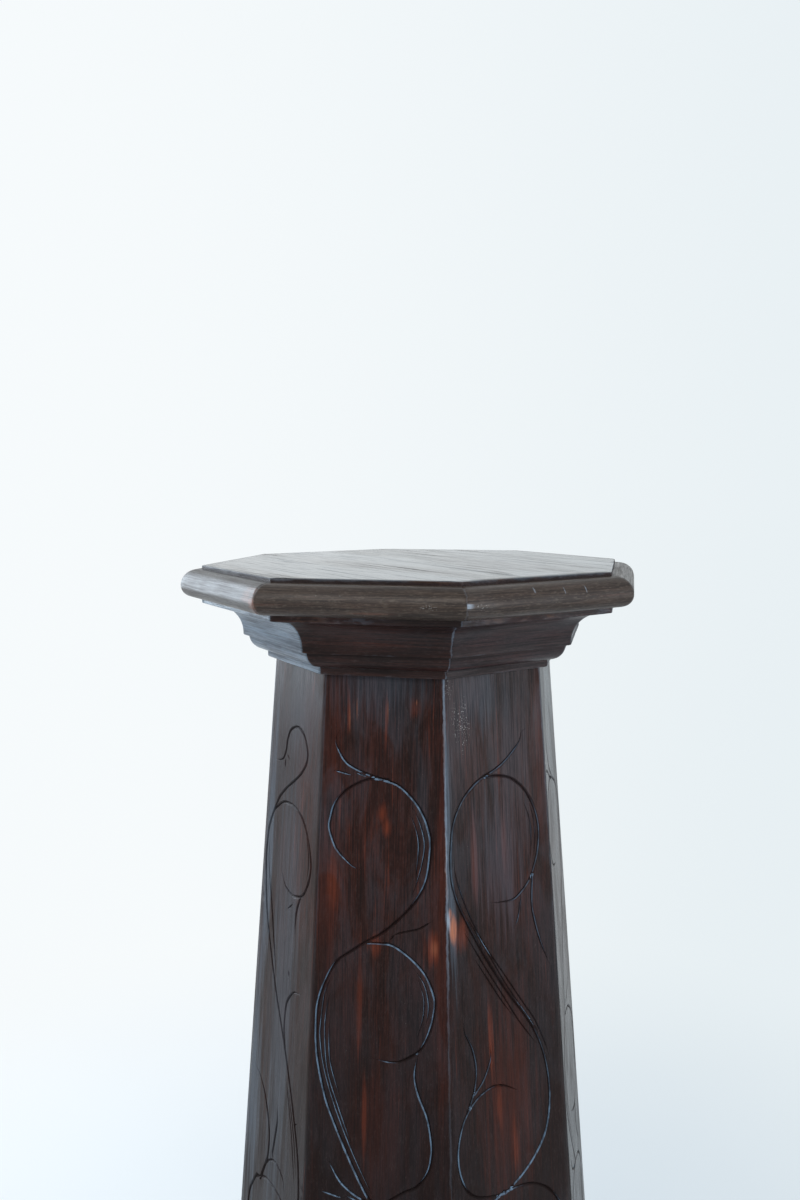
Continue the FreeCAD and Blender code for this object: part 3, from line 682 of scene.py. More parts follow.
def baseSection():
    b = baseShape
    low, high, outer = baseLow.z, baseHigh.z, -baseLow.y
    coveFace = outer - b["shelf"]
    neck = coveFace - b["cove"]
    hollow = low + b["fillet"]
    soft = b["arris"]
    points = [(columnFace(low), low), (outer, low), (outer, hollow - soft), (outer - soft, hollow)]
    points += arc((coveFace, hollow + b["cove"]), b["cove"], -90, -180, 9)
    points += [(neck, high - b["band"]), (neck - b["step"], high - b["band"])]
    points += [(neck - b["step"], high - soft), (neck - b["step"] - soft, high), (columnFace(high), high)]
    return subdivide(points, 3 * mm)


plinthShape = {"chamfer": 3 * mm}


def plinthSection():
    low, high, outer = plinthLow.z, plinthHigh.z, -plinthLow.y
    chamfer = plinthShape["chamfer"]
    points = [(columnFace(low), low), (outer, low), (outer, high - chamfer)]
    points += [(outer - chamfer, high), (columnFace(high), high)]
    return subdivide(points, 5 * mm)


runs = {
    "top_edge": stripSection(), "crown_moulding": crownSection(), "neck_band": bandSection(),
    "base_moulding": baseSection(), "plinth_board": plinthSection(),
}
for stem, section in runs.items():
    for side in range(1, sides + 1):
        wear, wood = (stripWear, stripWood) if stem == "top_edge" else (trimWear, trimWood)
        runPiece(f"{stem}_{side}_worn", side, section, wear, wood, "trim_wood", f"{stem}_{side}")
    print(stem, "made")


# Each cut is a kind and its places on the face: millimetres to the right of the middle, and below the top.
# A sprig's tip is its first place, an arm's tip its last, and a vein or twig has two tips.
cuts = {
    "stem": {"wide": 2.9, "deep": 1.5, "tipIn": 0, "tipOut": 0},
    "arm": {"wide": 2.7, "deep": 1.4, "tipIn": 0, "tipOut": 26},
    "sprig": {"wide": 2.6, "deep": 1.35, "tipIn": 24, "tipOut": 0},
    "vein": {"wide": 1.5, "deep": 0.8, "tipIn": 22, "tipOut": 22},
    "twig": {"wide": 1.9, "deep": 1.0, "tipIn": 5, "tipOut": 5},
}

vineOne = [
    ("sprig", [(-33, 113), (-34, 118), (-32, 123), (-26, 132), (-14, 138), (0, 142)]),
    ("stem", [(0, 142), (12, 146), (23, 156), (30, 167), (34, 180), (34, 192), (32, 208), (26, 222),
              (15, 236), (1, 249), (-10, 256), (-21, 264), (-32, 273), (-40, 288), (-45, 304), (-46, 322),
              (-45, 342), (-40, 366), (-35, 381), (-21, 412), (-7, 438), (0, 443)]),
    ("arm", [(4, 142), (-8, 142), (-18, 146), (-27, 152), (-34, 161), (-37, 171), (-38, 178), (-35, 188),
             (-31, 195), (-21, 204), (-15, 206)]),
    ("twig", [(-35, 138), (-31, 138.5), (-22, 140.5)]),
    ("twig", [(-19, 138.5), (-11, 141)]),
    ("vein", [(20, 158), (26, 169), (30, 183), (29, 196), (25, 212), (22, 220)]),
    ("vein", [(18, 162), (23, 172), (26, 185), (25, 201), (24, 210)]),
    ("arm", [(-10, 257), (1, 256.5), (9, 257), (22, 265), (32, 275), (38, 288), (39, 297), (36, 313),
             (29, 328), (17, 337), (10, 339), (4, 339), (-4, 338)]),
    ("vein", [(23, 271), (31, 281), (34.5, 294), (34, 305), (32, 312)]),
    ("vein", [(27, 279), (31, 290), (31.5, 300), (30, 309), (27, 320)]),
    ("twig", [(35, 238), (28, 243), (23, 245), (13, 248), (9, 250)]),
    ("twig", [(10, 249), (7, 253)]),
    ("vein", [(-35, 283), (-40, 296), (-42.5, 316), (-43, 328), (-40, 349), (-32, 375), (-20, 404),
              (-9, 426), (-3, 437)]),
    ("vein", [(-36, 295), (-39, 311), (-39.5, 328), (-37, 352), (-29, 376), (-18, 405)]),
    ("vein", [(-36, 313), (-36.5, 325), (-35, 346), (-27, 372)]),
    ("arm", [(2, 443), (18, 431), (28, 425), (36, 413), (38.5, 400), (38, 390), (35, 375), (29, 361),
             (26, 350), (26, 341), (28, 331)]),
    ("sprig", [(-36, 415), (-33, 421), (-26, 431), (-14, 439), (0, 443)]),
]

vineTwo = [
    ("sprig", [(23, 115), (21, 122), (15, 128), (6, 135), (-3, 139.5), (-11, 142)]),
    ("stem", [(-11, 142), (-20, 147), (-30, 156), (-37.5, 169), (-40.5, 182), (-42, 203), (-39, 221),
              (-31.5, 239), (-17, 267), (1, 297), (15, 317), (25, 333), (32, 350), (36, 368), (37, 386),
              (35, 402), (30, 415), (20, 427), (8, 436), (-6, 443)]),
    ("arm", [(-11, 143), (0, 143.5), (12, 147), (23, 156), (30.5, 168), (34.5, 180), (35.5, 191),
             (34, 203), (31, 212), (25.5, 223), (15, 232), (8, 234), (-3, 233), (-8, 232)]),
    ("vein", [(22, 165), (27, 177), (28.5, 188), (27.5, 204), (26, 212)]),
    ("vein", [(27, 165), (31, 178), (32, 190), (31, 202), (29, 210)]),
    ("arm", [(28.5, 219), (27, 240), (29, 253), (33, 268), (40, 286)]),
    ("twig", [(17.5, 233), (14.5, 247), (11, 254)]),
    ("vein", [(-39, 197), (-38, 207), (-31, 229), (-18, 257), (0, 285.5), (15, 309), (26.5, 327),
              (35, 347), (38, 357)]),
    ("vein", [(-31, 236), (-15, 264), (0, 291), (12, 310), (24, 328), (29, 336)]),
    ("vein", [(-33, 247), (-17, 275), (-2, 300), (10.5, 321), (21, 336), (26, 343)]),
    ("vein", [(-25, 268), (-13.5, 287), (-3, 304), (7, 318)]),
    ("sprig", [(8, 372), (-4, 365), (-11, 363), (-17, 363), (-29, 368), (-39, 379), (-44.5, 394),
               (-45.5, 407), (-43, 420), (-38, 430), (-30, 437), (-18, 441), (-6, 443)]),
    ("sprig", [(-36.5, 311), (-36, 317), (-30, 331), (-27.5, 346), (-29.5, 360), (-35, 372)]),
    ("sprig", [(-14.5, 335), (-15, 343), (-21, 355), (-29, 363)]),
]

vineThree = [
    ("sprig", [(-26, 124), (-24, 138), (-17, 151), (-8, 158), (0, 164)]),
    ("sprig", [(-43, 142), (-38, 148), (-28, 152), (-18, 158), (-6, 163)]),
    ("stem", [(0, 164), (18, 172), (30, 182), (36, 196), (38, 215), (36, 235), (28, 256), (14, 281),
              (1, 302), (-7, 320), (-10, 336), (-16, 350), (-30, 360), (-41, 376), (-45, 396), (-40, 415),
              (-30, 435), (-15, 458), (-2, 478)]),
    ("arm", [(-4, 163), (-16, 161), (-27, 164), (-36, 171), (-42, 184), (-44, 198), (-40, 211),
             (-30, 222), (-20, 226), (-10, 228)]),
    ("vein", [(22, 180), (31, 198), (33, 214), (31, 233), (25, 250)]),
    ("vein", [(24, 192), (28, 208), (27, 228), (22, 246)]),
    ("arm", [(-14, 349), (0, 352), (15, 357), (28, 365), (39, 375), (46, 389), (47, 404), (44, 420),
             (37, 434), (26, 442), (13, 441), (0, 436), (-10, 430)]),
    ("vein", [(30, 374), (40, 388), (42, 404), (39, 420)]),
    ("vein", [(-34, 368), (-39, 384), (-40, 398), (-34, 418), (-24, 436), (-10, 458)]),
    ("vein", [(-34, 384), (-35, 400), (-29, 418), (-20, 434)]),
    ("twig", [(30, 333), (22, 340), (10, 344), (-2, 346)]),
    ("arm", [(20, 444), (19, 458), (24, 470), (33, 482)]),
    ("sprig", [(-38, 449), (-33, 460), (-22, 470), (-2, 478)]),
]

vineFour = [
    ("sprig", [(-32, 148.5), (-26, 147.5), (-20, 145), (-16, 139), (-15, 134), (-14, 129), (-10, 121.5),
               (-5, 118.5), (0, 117), (5, 117), (13, 120.5), (18.5, 128), (20, 135), (18, 141),
               (10.5, 149.5), (0, 157.5), (-12.5, 166), (-23, 175.5), (-28, 183)]),
    ("stem", [(-28, 183), (-33, 191), (-38.5, 203), (-40.5, 217), (-41, 228), (-39.5, 242), (-37, 259),
              (-32.5, 275), (-25, 293), (-18, 309), (-9, 327), (1, 344), (12, 364), (21, 382), (29, 400),
              (37, 420), (41, 436), (43, 455), (40, 476)]),
    ("arm", [(-29, 186), (-20, 179.5), (-13, 176.5), (-1, 175.5), (12, 178), (22, 185), (31, 199),
             (34.5, 212), (31, 225), (23, 236), (12, 240.5), (6, 241), (-5, 238), (-12, 230)]),
    ("vein", [(24, 189), (29, 201), (30.5, 211), (29, 222)]),
    ("arm", [(20.5, 238), (16, 249), (14.5, 258), (15, 268)]),
    ("twig", [(9, 247), (1, 253.5)]),
    ("twig", [(-13, 140), (-9, 144)]),
    ("twig", [(-16, 144), (-16, 151)]),
    ("vein", [(-36, 210), (-36, 228), (-31, 249), (-27, 262), (-22, 280), (-17, 297), (-12, 312)]),
    ("vein", [(-32, 236), (-29, 250), (-24, 268), (-19, 287), (-15, 301)]),
    ("sprig", [(29, 307.5), (22, 309), (17, 311), (9, 320), (6.5, 327), (5.5, 337), (6, 347), (9, 358)]),
    ("twig", [(8, 297), (8.5, 303)]),
    ("twig", [(35, 402), (30, 405)]),
    ("vein", [(13, 379), (18, 390), (25, 409), (31, 430), (35, 448)]),
    ("vein", [(17, 383), (24, 398), (31, 416), (37, 440)]),
    ("sprig", [(-38, 397), (-32, 399), (-22, 408), (-15, 420), (-10.5, 432), (-9.5, 443), (-11, 454),
               (-16, 466), (-21, 477)]),
    ("sprig", [(1, 406), (2.5, 418), (1, 427), (-3, 446)]),
    ("sprig", [(20, 463), (17.5, 456), (12, 452), (3, 450.5), (-5, 453), (-13, 460), (-19, 471),
               (-22, 479)]),
]

# How each face's vine goes on below its first turn: the drop to the next turn and the lean, in millimetres,
# how many times wider it is there, and which cuts of the first turn don't come back.
faceVines = {
    1: {"cuts": vineOne, "drop": 301, "widen": 1.18, "lean": 0, "skip": (0, 16)},
    2: {"cuts": vineTwo, "drop": 299, "widen": 1.18, "lean": 6, "skip": (0,)},
    3: {"cuts": vineThree, "drop": 314, "widen": 1.12, "lean": 0, "skip": (0, 1)},
    4: {"cuts": vineFour, "drop": 295, "widen": 1.16, "lean": 5, "skip": (0, 6, 7, 16)},
}
facePlan = {1: 1, 2: 2, 3: 3, 4: 4, 5: 1, 6: 2, 7: 3, 8: 4}  # which vine each side carries
vineFoot = 880  # the vine ends this far below the top, in millimetres


def smoothLine(points, step):
    # a smooth line through given places
    ends = [2 * Vector(points[0]) - Vector(points[1])] + [Vector(p) for p in points]
    ends.append(2 * Vector(points[-1]) - Vector(points[-2]))
    line = []
    for a, b, c, d in zip(ends, ends[1:], ends[2:], ends[3:]):
        count = max(2, int((c - b).length / step))
        for i in range(count):
            t = i / count
            line.append(0.5 * ((2 * b) + (c - a) * t + (2 * a - 5 * b + 4 * c - d) * t * t
                               + (3 * b - 3 * c + d - a) * t * t * t))
    line.append(ends[-2])
    return line


def vineOnFace(plan):
    # the first turn as traced, then the same turn again lower down, until the foot of the vine
    strokes = list(plan["cuts"])
    for turn in (1, 2):
        for number, (kind, points) in enumerate(plan["cuts"]):
            if number in plan["skip"]:
                continue
            widen, lean, drop = plan["widen"] ** turn, plan["lean"] * turn, plan["drop"] * turn
            moved = [(u * widen + lean, v + drop) for u, v in points]
            kept = [p for p in moved if p[1] < vineFoot]
            if len(kept) == len(moved):
                strokes.append((kind, moved))
            elif len(kept) > 3 and moved[0][1] < vineFoot:
                first = next(i for i, p in enumerate(moved) if p[1] >= vineFoot)
                if first > 3:
                    strokes.append(("arm", moved[:first]))
    return strokes


def cutLines(strokes, faceKey):
    # each stroke as a line of (place, half width, depth), with its tips run out
    lines = []
    for number, (kind, points) in enumerate(strokes):
        shape = cuts[kind]
        line = smoothLine(points, 2.2)
        run = [0.0]
        for a, b in zip(line, line[1:]):
            run.append(run[-1] + (b - a).length)
        whole = run[-1]
        tipIn = min(shape["tipIn"], 0.45 * whole)
        tipOut = min(shape["tipOut"], 0.45 * whole)
        made = []
        for place, s in zip(line, run):
            share = 1.0
            if tipIn:
                share = min(share, 0.12 + 0.88 * math.sqrt(soften(s, 0, tipIn)))
            if tipOut:
                share = min(share, 0.12 + 0.88 * math.sqrt(soften(whole - s, 0, tipOut)))
            hand = 1 + 0.16 * wander(s * 0.11, number * 3.7, faceKey * 11.0)
            made.append((place, 0.5 * shape["wide"] * share * hand, shape["deep"] * share * hand))
        lines.append(made)
    return lines


staveLook = {
    "arris": 0.7, "arrisWander": 0.6, "arrisDent": 0.9,  # millimetres worn off the corners
    "bevel": 0.31,  # how far the worn corner falls back, as a share of its width
    "hollow": 0.16,  # how uneven the planed face is, in millimetres
    "rows": 4.0, "grid": 9.0,  # spacing of the points down the edges and over the face
    "cutReach": 1.7,  # half the widest cut
    "cutClear": 2.6, "edgeClear": 5,  # how far the grid keeps from the cuts and the edges
}


# which way the cut wall with the painted glint faces on each side (right, down), how strong the painted
# glint is above and below the middle of the vine, and how far round a bend it reaches
cutGlintSides = {
    1: (0.85, -0.53, 1.0, 1.0, 0.0), 2: (-0.85, -0.53, 0.66, 0.95, 0.0), 3: (0.85, -0.5, 0.3, 0.3, 0.0),
    4: (-0.8, -0.6, 0.5, 0.6, 0.0), 5: (0.85, -0.53, 0.8, 0.8, 0.0), 6: (-0.85, -0.53, 0.7, 0.9, 0.0),
    7: (0.8, -0.6, 0.6, 0.6, 0.0), 8: (0.7, 0.7, 0.12, 0.12, 0.0),
}


def arrisWorn(corner, depth):
    # width worn off a corner of the column, in millimetres, at a depth below the top
    base = staveLook["arris"] + staveLook["arrisWander"] * 0.5 * wander(depth * 0.035, corner * 4.3, 1.0)
    dent = staveLook["arrisDent"] * soften(wander(depth * 0.16, corner * 7.9, 5.0), 0.35, 0.8)
    return max(base + dent, 0.35)


def makeStave(side):
    top, foot = (topLevel - staveHigh.z) / mm, (topLevel - staveLow.z) / mm
    glintRight, glintDown, glintAbove, glintBelow, glintReach = cutGlintSides[side]
    strokes = vineOnFace(faceVines[facePlan[side]])
    lines = cutLines(strokes, side)
    fine = []
    for made in lines:
        for (a, wideA, deepA), (b, wideB, deepB) in zip(made, made[1:]):
            count = max(1, int((b - a).length / 0.25))
            for i in range(count):
                t = i / count
                fine.append((a.lerp(b, t), wideA + (wideB - wideA) * t, deepA + (deepB - deepA) * t))
        fine.append(made[-1])
    tree = kdtree.KDTree(len(fine))
    for i, (place, wide, deep) in enumerate(fine):
        tree.insert((place.x, place.y, 0), i)
    tree.balance()

    def cutAt(u, v):
        deepest = 0.0
        for _, i, far in tree.find_range((u, v, 0), staveLook["cutReach"]):
            wide, deep = fine[i][1], fine[i][2]
            if far < wide:
                deepest = max(deepest, deep * (1 - far / wide))
        return deepest

    def faceHalf(v):
        return columnFace(topLevel - v * mm) / mm * mitreSlope

    rowSteps = round((foot - top) / staveLook["rows"])
    rows = [top + (foot - top) * i / rowSteps for i in range(rowSteps + 1)]
    left = [(-(faceHalf(v) - arrisWorn(side, v)), v) for v in rows]
    right = [(faceHalf(v) - arrisWorn(side % sides + 1, v), v) for v in rows]
    points = [Vector(p) for p in left + right]
    glintAt = {}
    edges = [(i, i + 1) for i in range(len(left) - 1)]
    edges += [(len(left) + i, len(left) + i + 1) for i in range(len(right) - 1)]
    edges += [(0, len(left)), (len(left) - 1, 2 * len(left) - 1)]
    for made in lines:
        starts = []
        for number, (place, wide, deep) in enumerate(made):
            before, after = made[max(number - 1, 0)][0], made[min(number + 1, len(made) - 1)][0]
            ahead = (after - before).normalized()
            across = Vector((-ahead.y, ahead.x))
            starts.append(len(points))
            # which lip of the cut carries the painted glint
            facing = across.dot(Vector((glintRight, glintDown)))
            amount = glintAbove + (glintBelow - glintAbove) * soften(place.y, 370, 410)
            glintAt[starts[-1] + 1] = amount * soften(-facing, -glintReach, 0.75)
            glintAt[starts[-1] + 2] = amount * soften(facing, -glintReach, 0.75)
            points += [place, place + across * wide, place - across * wide]
        edges += grooveEdges(starts)
    v = top + staveLook["grid"]
    while v < foot - 2:
        half = faceHalf(v) - staveLook["edgeClear"]
        count = int(2 * half / staveLook["grid"])
        for i in range(count + 1):
            u = -half + 2 * half * i / count
            if tree.find((u, v, 0))[2] > staveLook["cutClear"]:
                points.append(Vector((u, v)))
        v += staveLook["grid"]
    flat, _, triangles, origins, _, _ = delaunay_2d_cdt(points, edges, [], 0, 1e-4)

    level = Vector((1, 0, columnSlope)).normalized()  # the face's outward normal, seen from the side
    shift = sideShift(side)
    verts, traits = [], []
    for (u, v), sources in zip(flat, origins):
        inset = faceHalf(v) - abs(u)
        corner = side if u < 0 else side % sides + 1
        groove = cutAt(u, v) if inset > 1.8 else 0.0
        planed = 0.5 + 0.5 * wander(u * 0.045, v * 0.014, side * 6.1)
        uneven = staveLook["hollow"] * planed * soften(inset, 1, 8)
        inward = groove + uneven
        z = topLevel - v * mm
        verts.append((columnFace(z) - level.x * inward * mm, u * mm, z - level.z * inward * mm))
        place = Vector((v * mm, u * mm, inward * mm)) + shift
        cutGlint = max((glintAt.get(i, 0.0) for i in sources), default=0.0)
        # the cut's depth, which also darkens it with painted shade
        traits.append((place, max(inset, 0) * mm, cornerShare(corner, z), min(groove / 0.9, 1.0), 0.0, cutGlint,
                       sideSheenColumn[side]))
    faces = []
    for triangle in triangles:
        faces.append(tuple(triangle) if winding(flat, triangle) < 0 else tuple(reversed(triangle)))

    index = {}
    for i, sources in enumerate(origins):
        for source in sources:
            index[source] = i
    rowCount = len(rows)
    bevel, inside = {}, {}
    for end in (-1, 1):
        corner = side if end < 0 else side % sides + 1
        for i, v in enumerate(rows):
            z = topLevel - v * mm
            bevelled = columnFace(z) - staveLook["bevel"] * arrisWorn(corner, v) * mm
            for ring, r, depth in ((bevel, bevelled, 0), (inside, columnFace(z) - staveWall, staveWall)):
                y = end * r * mitreSlope
                ring[end, i] = len(verts)
                verts.append((r, y, z))
                place = Vector((v * mm, y, depth)) + shift
                traits.append((place, 0.0, cornerShare(corner, z), 0.0, 0.0, 0.0, sideSheenColumn[side]))
    for i in range(rowCount - 1):
        a, b = index[i], index[i + 1]
        faces.append((a, bevel[-1, i], bevel[-1, i + 1], b))
        faces.append((bevel[-1, i], inside[-1, i], inside[-1, i + 1], bevel[-1, i + 1]))
        a, b = index[rowCount + i], index[rowCount + i + 1]
        faces.append((bevel[1, i], a, b, bevel[1, i + 1]))
        faces.append((inside[1, i], bevel[1, i], bevel[1, i + 1], inside[1, i + 1]))
        faces.append((inside[-1, i], inside[1, i], inside[1, i + 1], inside[-1, i + 1]))
    last = rowCount - 1
    faces.append((bevel[-1, 0], index[0], index[rowCount], bevel[1, 0], inside[1, 0], inside[-1, 0]))
    faces.append((index[last], bevel[-1, last], inside[-1, last], inside[1, last], bevel[1, last],
                  index[rowCount + last]))
    makePiece(f"column_stave_{side}_carved", verts, faces, traits, side, columnWood, "column_wood",
              f"column_stave_{side}", sharp=24)
    return len(faces)


for side in range(1, sides + 1):
    print("stave", side, "carved:", makeStave(side), "faces")


panelLook = {"arris": 0.7, "arrisWander": 0.7, "dent": 1.8, "grid": 9.0, "grain": -45.0, "hollow": 0.12}
# splinters out of the rim: how many sides round from the corner of sides 3 and 4, and millimetres deep
panelChips = [(0.04, 3.4), (0.17, 2.0), (7.92, 2.6), (7.74, 1.6), (5.06, 1.8), (2.55, 1.4)]
# cracks and open grain: from, to and bow, in millimetres seen from above
panelCracks = [
    ((-104, 102), (-36, 36), -3), ((-40, 42), (24, -24), 4), ((16, -14), (84, -86), -3),
    ((-26, 100), (38, 40), 3), ((44, 38), (96, -6), -4), ((-134, 18), (-66, -40), 3),
    ((-60, -56), (-6, -98), 3), ((8, -60), (46, -100), 2), ((-80, 60), (-58, 38), 1),
    ((92, 30), (128, 2), 2), ((-20, 132), (12, 102), 1), ((66, -64), (88, -92), 1),
    ((-112, -22), (-92, -44), 1), ((30, 96), (64, 70), 2),
]
crackCut = {"wide": 0.9, "deep": 0.4}


def makePanel():
    flatReach = panelHigh.x / mm
    cornerReach = flatReach / math.cos(halfSide)
    corners = [Vector((cornerReach * math.cos(a), cornerReach * math.sin(a)))
               for a in (math.radians(22.5 + 45 * i) for i in range(sides))]
    outward = [Vector((math.cos(a), math.sin(a))) for a in (math.radians(45 * n) for n in range(sides))]
    outline = []
    for number, corner in enumerate(corners):
        following = corners[(number + 1) % sides]
        for i in range(24):
            outline.append((corner.lerp(following, i / 24), number + i / 24))

    def wornAt(station):
        plain = panelLook["arris"] + 0.5 * panelLook["arrisWander"] * wander(station * 9.0, 2.2, 8.0)
        dent = panelLook["dent"] * soften(wander(station * 31.0, 6.4, 2.0), 0.38, 0.85)
        chip = sum(depth * max(0.0, 1 - abs((station - at + 4) % 8 - 4) / 0.055) for at, depth in panelChips)
        return max(plain + dent, 0.3) + chip

    def rimGap(place):
        return flatReach - max(place.dot(way) for way in outward)

    rim = [p * (1 - wornAt(s) / flatReach) for p, s in outline]
    points = [Vector(p) for p in rim]
    count = len(points)
    edges = [(i, (i + 1) % count) for i in range(count)]
    fine = []
    for start, end, bow in panelCracks:
        a, b = Vector(start), Vector(end)
        middle = (a + b) / 2 + Vector((b.y - a.y, a.x - b.x)).normalized() * bow
        line = smoothLine([a, middle, b], 3)
        starts = []
        for i, place in enumerate(line):
            t = i / (len(line) - 1)
            share = 0.1 + 0.9 * math.sin(math.pi * t) ** 0.5 if 0 < t < 1 else 0.1
            wide, deep = 0.5 * crackCut["wide"] * share, crackCut["deep"] * share
            place = place + Vector((0.3 * wander(i * 0.6, bow, a.x), 0.3 * wander(i * 0.6, a.y, bow)))
            across = Vector((a.y - b.y, b.x - a.x)).normalized()
            starts.append(len(points))
            points += [place, place + across * wide, place - across * wide]
            fine.append((starts[-1], deep))
        edges += grooveEdges(starts)
    reach = int(flatReach / panelLook["grid"])
    for i in range(-reach, reach + 1):
        for j in range(-reach, reach + 1):
            place = Vector((i, j)) * panelLook["grid"] + Vector((1.3, 0.7))
            near = min((place - points[k]).length for k, _ in fine)
            if rimGap(place) > 4 and near > 2:
                points.append(place)
    flat, _, triangles, origins, _, _ = delaunay_2d_cdt(points, edges, [], 0, 1e-4)
    index = {source: i for i, sources in enumerate(origins) for source in sources}
    deepAt = {index[k]: deep for k, deep in fine}
    grain = Matrix.Rotation(math.radians(-panelLook["grain"]), 2)
    verts, traits, faces = [], [], []

    def addPoint(x, y, down, edgeGap, cutDepth):
        along, across = grain @ Vector((x, y))
        verts.append((x * mm, y * mm, topLevel - down * mm))
        place = Vector((along * mm + 31, across * mm, down * mm))
        traits.append((place, max(edgeGap, 0) * mm, 0.6, cutDepth, 0.0, 0.0, 0.0))

    for i, place in enumerate(flat):
        inset = rimGap(place)
        deep = deepAt.get(i, 0.0)
        planed = 0.5 + 0.5 * wander(place.x * 0.02, place.y * 0.02, 4.0)
        uneven = panelLook["hollow"] * planed * soften(inset, 1, 8)
        addPoint(place.x, place.y, deep + uneven, inset, min(deep * 2, 1))
    for triangle in triangles:
        faces.append(tuple(triangle) if winding(flat, triangle) > 0 else tuple(reversed(triangle)))
    under = (topLevel - panelLow.z) / mm
    rings = []
    # the rim, its lip and its side, darkened towards the gap with painted shade
    for share, down in ((0.28, 0.28), (0.0, 1.0)):
        ring = []
        for place, station in outline:
            worn = wornAt(station)
            edge = place * (1 - worn * share / flatReach)
            ring.append(len(verts))
            addPoint(edge.x, edge.y, worn * down * 0.8, 0, 0.7 * down)
        rings.append(ring)
    ring = []
    for place, station in outline:
        ring.append(len(verts))
        addPoint(place.x, place.y, under, under, 0.9)
    rings.append(ring)
    top = [index[i] for i in range(count)]
    for upper, lower in zip([top] + rings, rings):
        for i in range(count):
            j = (i + 1) % count
            faces.append((upper[i], lower[i], lower[j], upper[j]))
    faces.append(tuple(reversed(ring)))
    panel = makePiece("top_panel_worn", verts, faces, traits, facingX, topWood, "display_wood", "top_panel",
                      sharp=34)
    panel.data.materials.append(trimWood)  # the panel's lip is dull and dark
    for polygon in panel.data.polygons:
        polygon.material_index = 0 if polygon.normal.z > 0.6 else 1


makePanel()
print("display panel made")


shot = {"place": (0.1628, -0.7350, 1.0581), "heading": 13.41, "pitch": -6.66, "roll": -0.20, "lens": 29.19}
cameraData = bpy.data.cameras.new("camera")
cameraData.lens = shot["lens"]
cameraData.sensor_width = 36
cameraData.clip_start = 0.02
camera = bpy.data.objects.new("camera", cameraData)
camera.matrix_world = (
    Matrix.Translation(shot["place"])
    @ Matrix.Rotation(math.radians(shot["heading"]), 4, "Z")
    @ Matrix.Rotation(math.radians(90 + shot["pitch"]), 4, "X")
    @ Matrix.Rotation(math.radians(shot["roll"]), 4, "Z")
)
bpy.context.scene.collection.objects.link(camera)
bpy.context.scene.camera = camera


studio = {
    "pale": (0.925, 0.960, 0.975), "shade": (0.80, 0.865, 0.895), "floor": (0.66, 0.71, 0.74),
    "worldLight": (0.84, 0.92, 1.0), "worldStrength": 0.55, "fadeFrom": 0.45, "fadeTo": 1.5, "floorReach": 30,
}


def paleShade(bench, direction):
    # the room is a little darker towards +X
    turn = bench.add("ShaderNodeVectorMath", operation="NORMALIZE")
    bench.join(direction, turn.inputs[0])
    parts = bench.add("ShaderNodeSeparateXYZ")
    bench.join(turn.outputs[0], parts.inputs[0])
    return bench.blend(bench.remap(parts.outputs["X"], -0.6, 0.35), studio["pale"], studio["shade"])


def backdropRays(bench):
    # seen by the camera and in reflections, and not a light
    path = bench.add("ShaderNodeLightPath")
    seen = bench.maths("MAXIMUM", path.outputs["Is Glossy Ray"], path.outputs["Is Transmission Ray"])
    return bench.maths("MAXIMUM", seen, path.outputs["Is Camera Ray"])


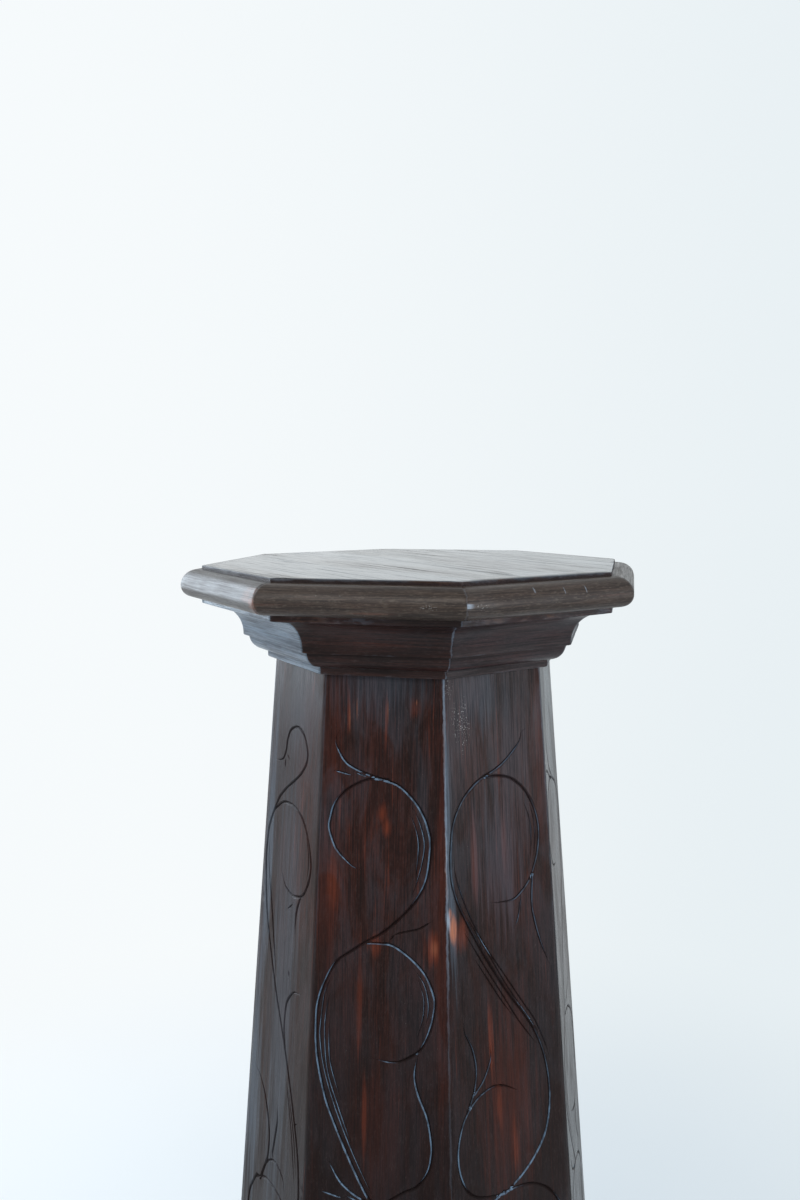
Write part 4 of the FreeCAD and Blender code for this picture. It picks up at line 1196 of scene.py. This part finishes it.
def makeFloor():
    mesh = bpy.data.meshes.new("floor")
    reach = studio["floorReach"]
    corners = [(-reach, -reach, 0), (reach, -reach, 0), (reach, reach, 0), (-reach, reach, 0)]
    mesh.from_pydata(corners, [], [(0, 1, 2, 3)])
    floor = bpy.data.objects.new("floor", mesh)
    bpy.context.scene.collection.objects.link(floor)
    bench = NodeBench(bpy.data.materials.new("paleFloor"))
    place = bench.add("ShaderNodeTexCoord").outputs["Object"]
    mottle = bench.noise(place, (1.2, 1.2, 1.2), 3, 0.5)
    colour = bench.blend(bench.remap(mottle, 0.3, 0.7, 0.0, 0.25), studio["floor"], studio["pale"])
    bench.join(colour, bench.shader.inputs["Base Color"])
    bench.shader.inputs["Roughness"].default_value = 0.85
    bench.shader.inputs["Specular IOR Level"].default_value = 0.1
    glow = bench.add("ShaderNodeEmission")
    bench.join(paleShade(bench, place), glow.inputs["Color"])
    length = bench.add("ShaderNodeVectorMath", operation="LENGTH")
    bench.join(place, length.inputs[0])
    far = bench.remap(length.outputs["Value"], studio["fadeFrom"], studio["fadeTo"], 0.35, 1.0)
    mix = bench.add("ShaderNodeMixShader")
    bench.join(bench.maths("MULTIPLY", far, backdropRays(bench)), mix.inputs[0])
    bench.join(bench.shader.outputs[0], mix.inputs[1])
    bench.join(glow.outputs[0], mix.inputs[2])
    bench.join(mix.outputs[0], bench.nodes["Material Output"].inputs["Surface"])
    mesh.materials.append(bench.material)


def makeWorld():
    world = bpy.data.worlds.new("paleRoom")
    bpy.context.scene.world = world
    bench = NodeBench(world)
    light = bench.nodes["Background"]
    light.inputs["Color"].default_value = (*studio["worldLight"], 1)
    light.inputs["Strength"].default_value = studio["worldStrength"]
    backdrop = bench.add("ShaderNodeBackground")
    direction = bench.add("ShaderNodeTexCoord").outputs["Generated"]
    bench.join(paleShade(bench, direction), backdrop.inputs["Color"])
    mix = bench.add("ShaderNodeMixShader")
    bench.join(backdropRays(bench), mix.inputs[0])
    bench.join(light.outputs[0], mix.inputs[1])
    bench.join(backdrop.outputs[0], mix.inputs[2])
    bench.join(mix.outputs[0], bench.nodes["World Output"].inputs["Surface"])


lamps = {
    # place, what it looks at, width, height, power, colour
    "window": ((-2.2, 0.60, 1.45), (0, 0, 0.85), 1.8, 1.8, 56, (0.78, 0.89, 1.0)),
    "frontSoft": ((-0.6, -2.1, 2.5), (0, 0, 0.85), 1.8, 1.4, 30, (1.0, 0.97, 0.93)),
    "rightSoft": ((2.4, -0.7, 1.2), (0, 0, 0.8), 1.4, 1.6, 30, (0.88, 0.94, 1.0)),
}


def makeLamps():
    for name, (place, target, wide, high, power, colour) in lamps.items():
        data = bpy.data.lights.new(name, "AREA")
        data.shape = "RECTANGLE"
        data.size, data.size_y = wide, high
        data.energy = power
        data.color = colour
        lamp = bpy.data.objects.new(name, data)
        lamp.location = place
        lamp.rotation_euler = (Vector(target) - Vector(place)).to_track_quat("-Z", "Y").to_euler()
        bpy.context.scene.collection.objects.link(lamp)


makeFloor()
makeWorld()
makeLamps()
bpy.context.scene.view_settings.view_transform = "Standard"
print("studio made")
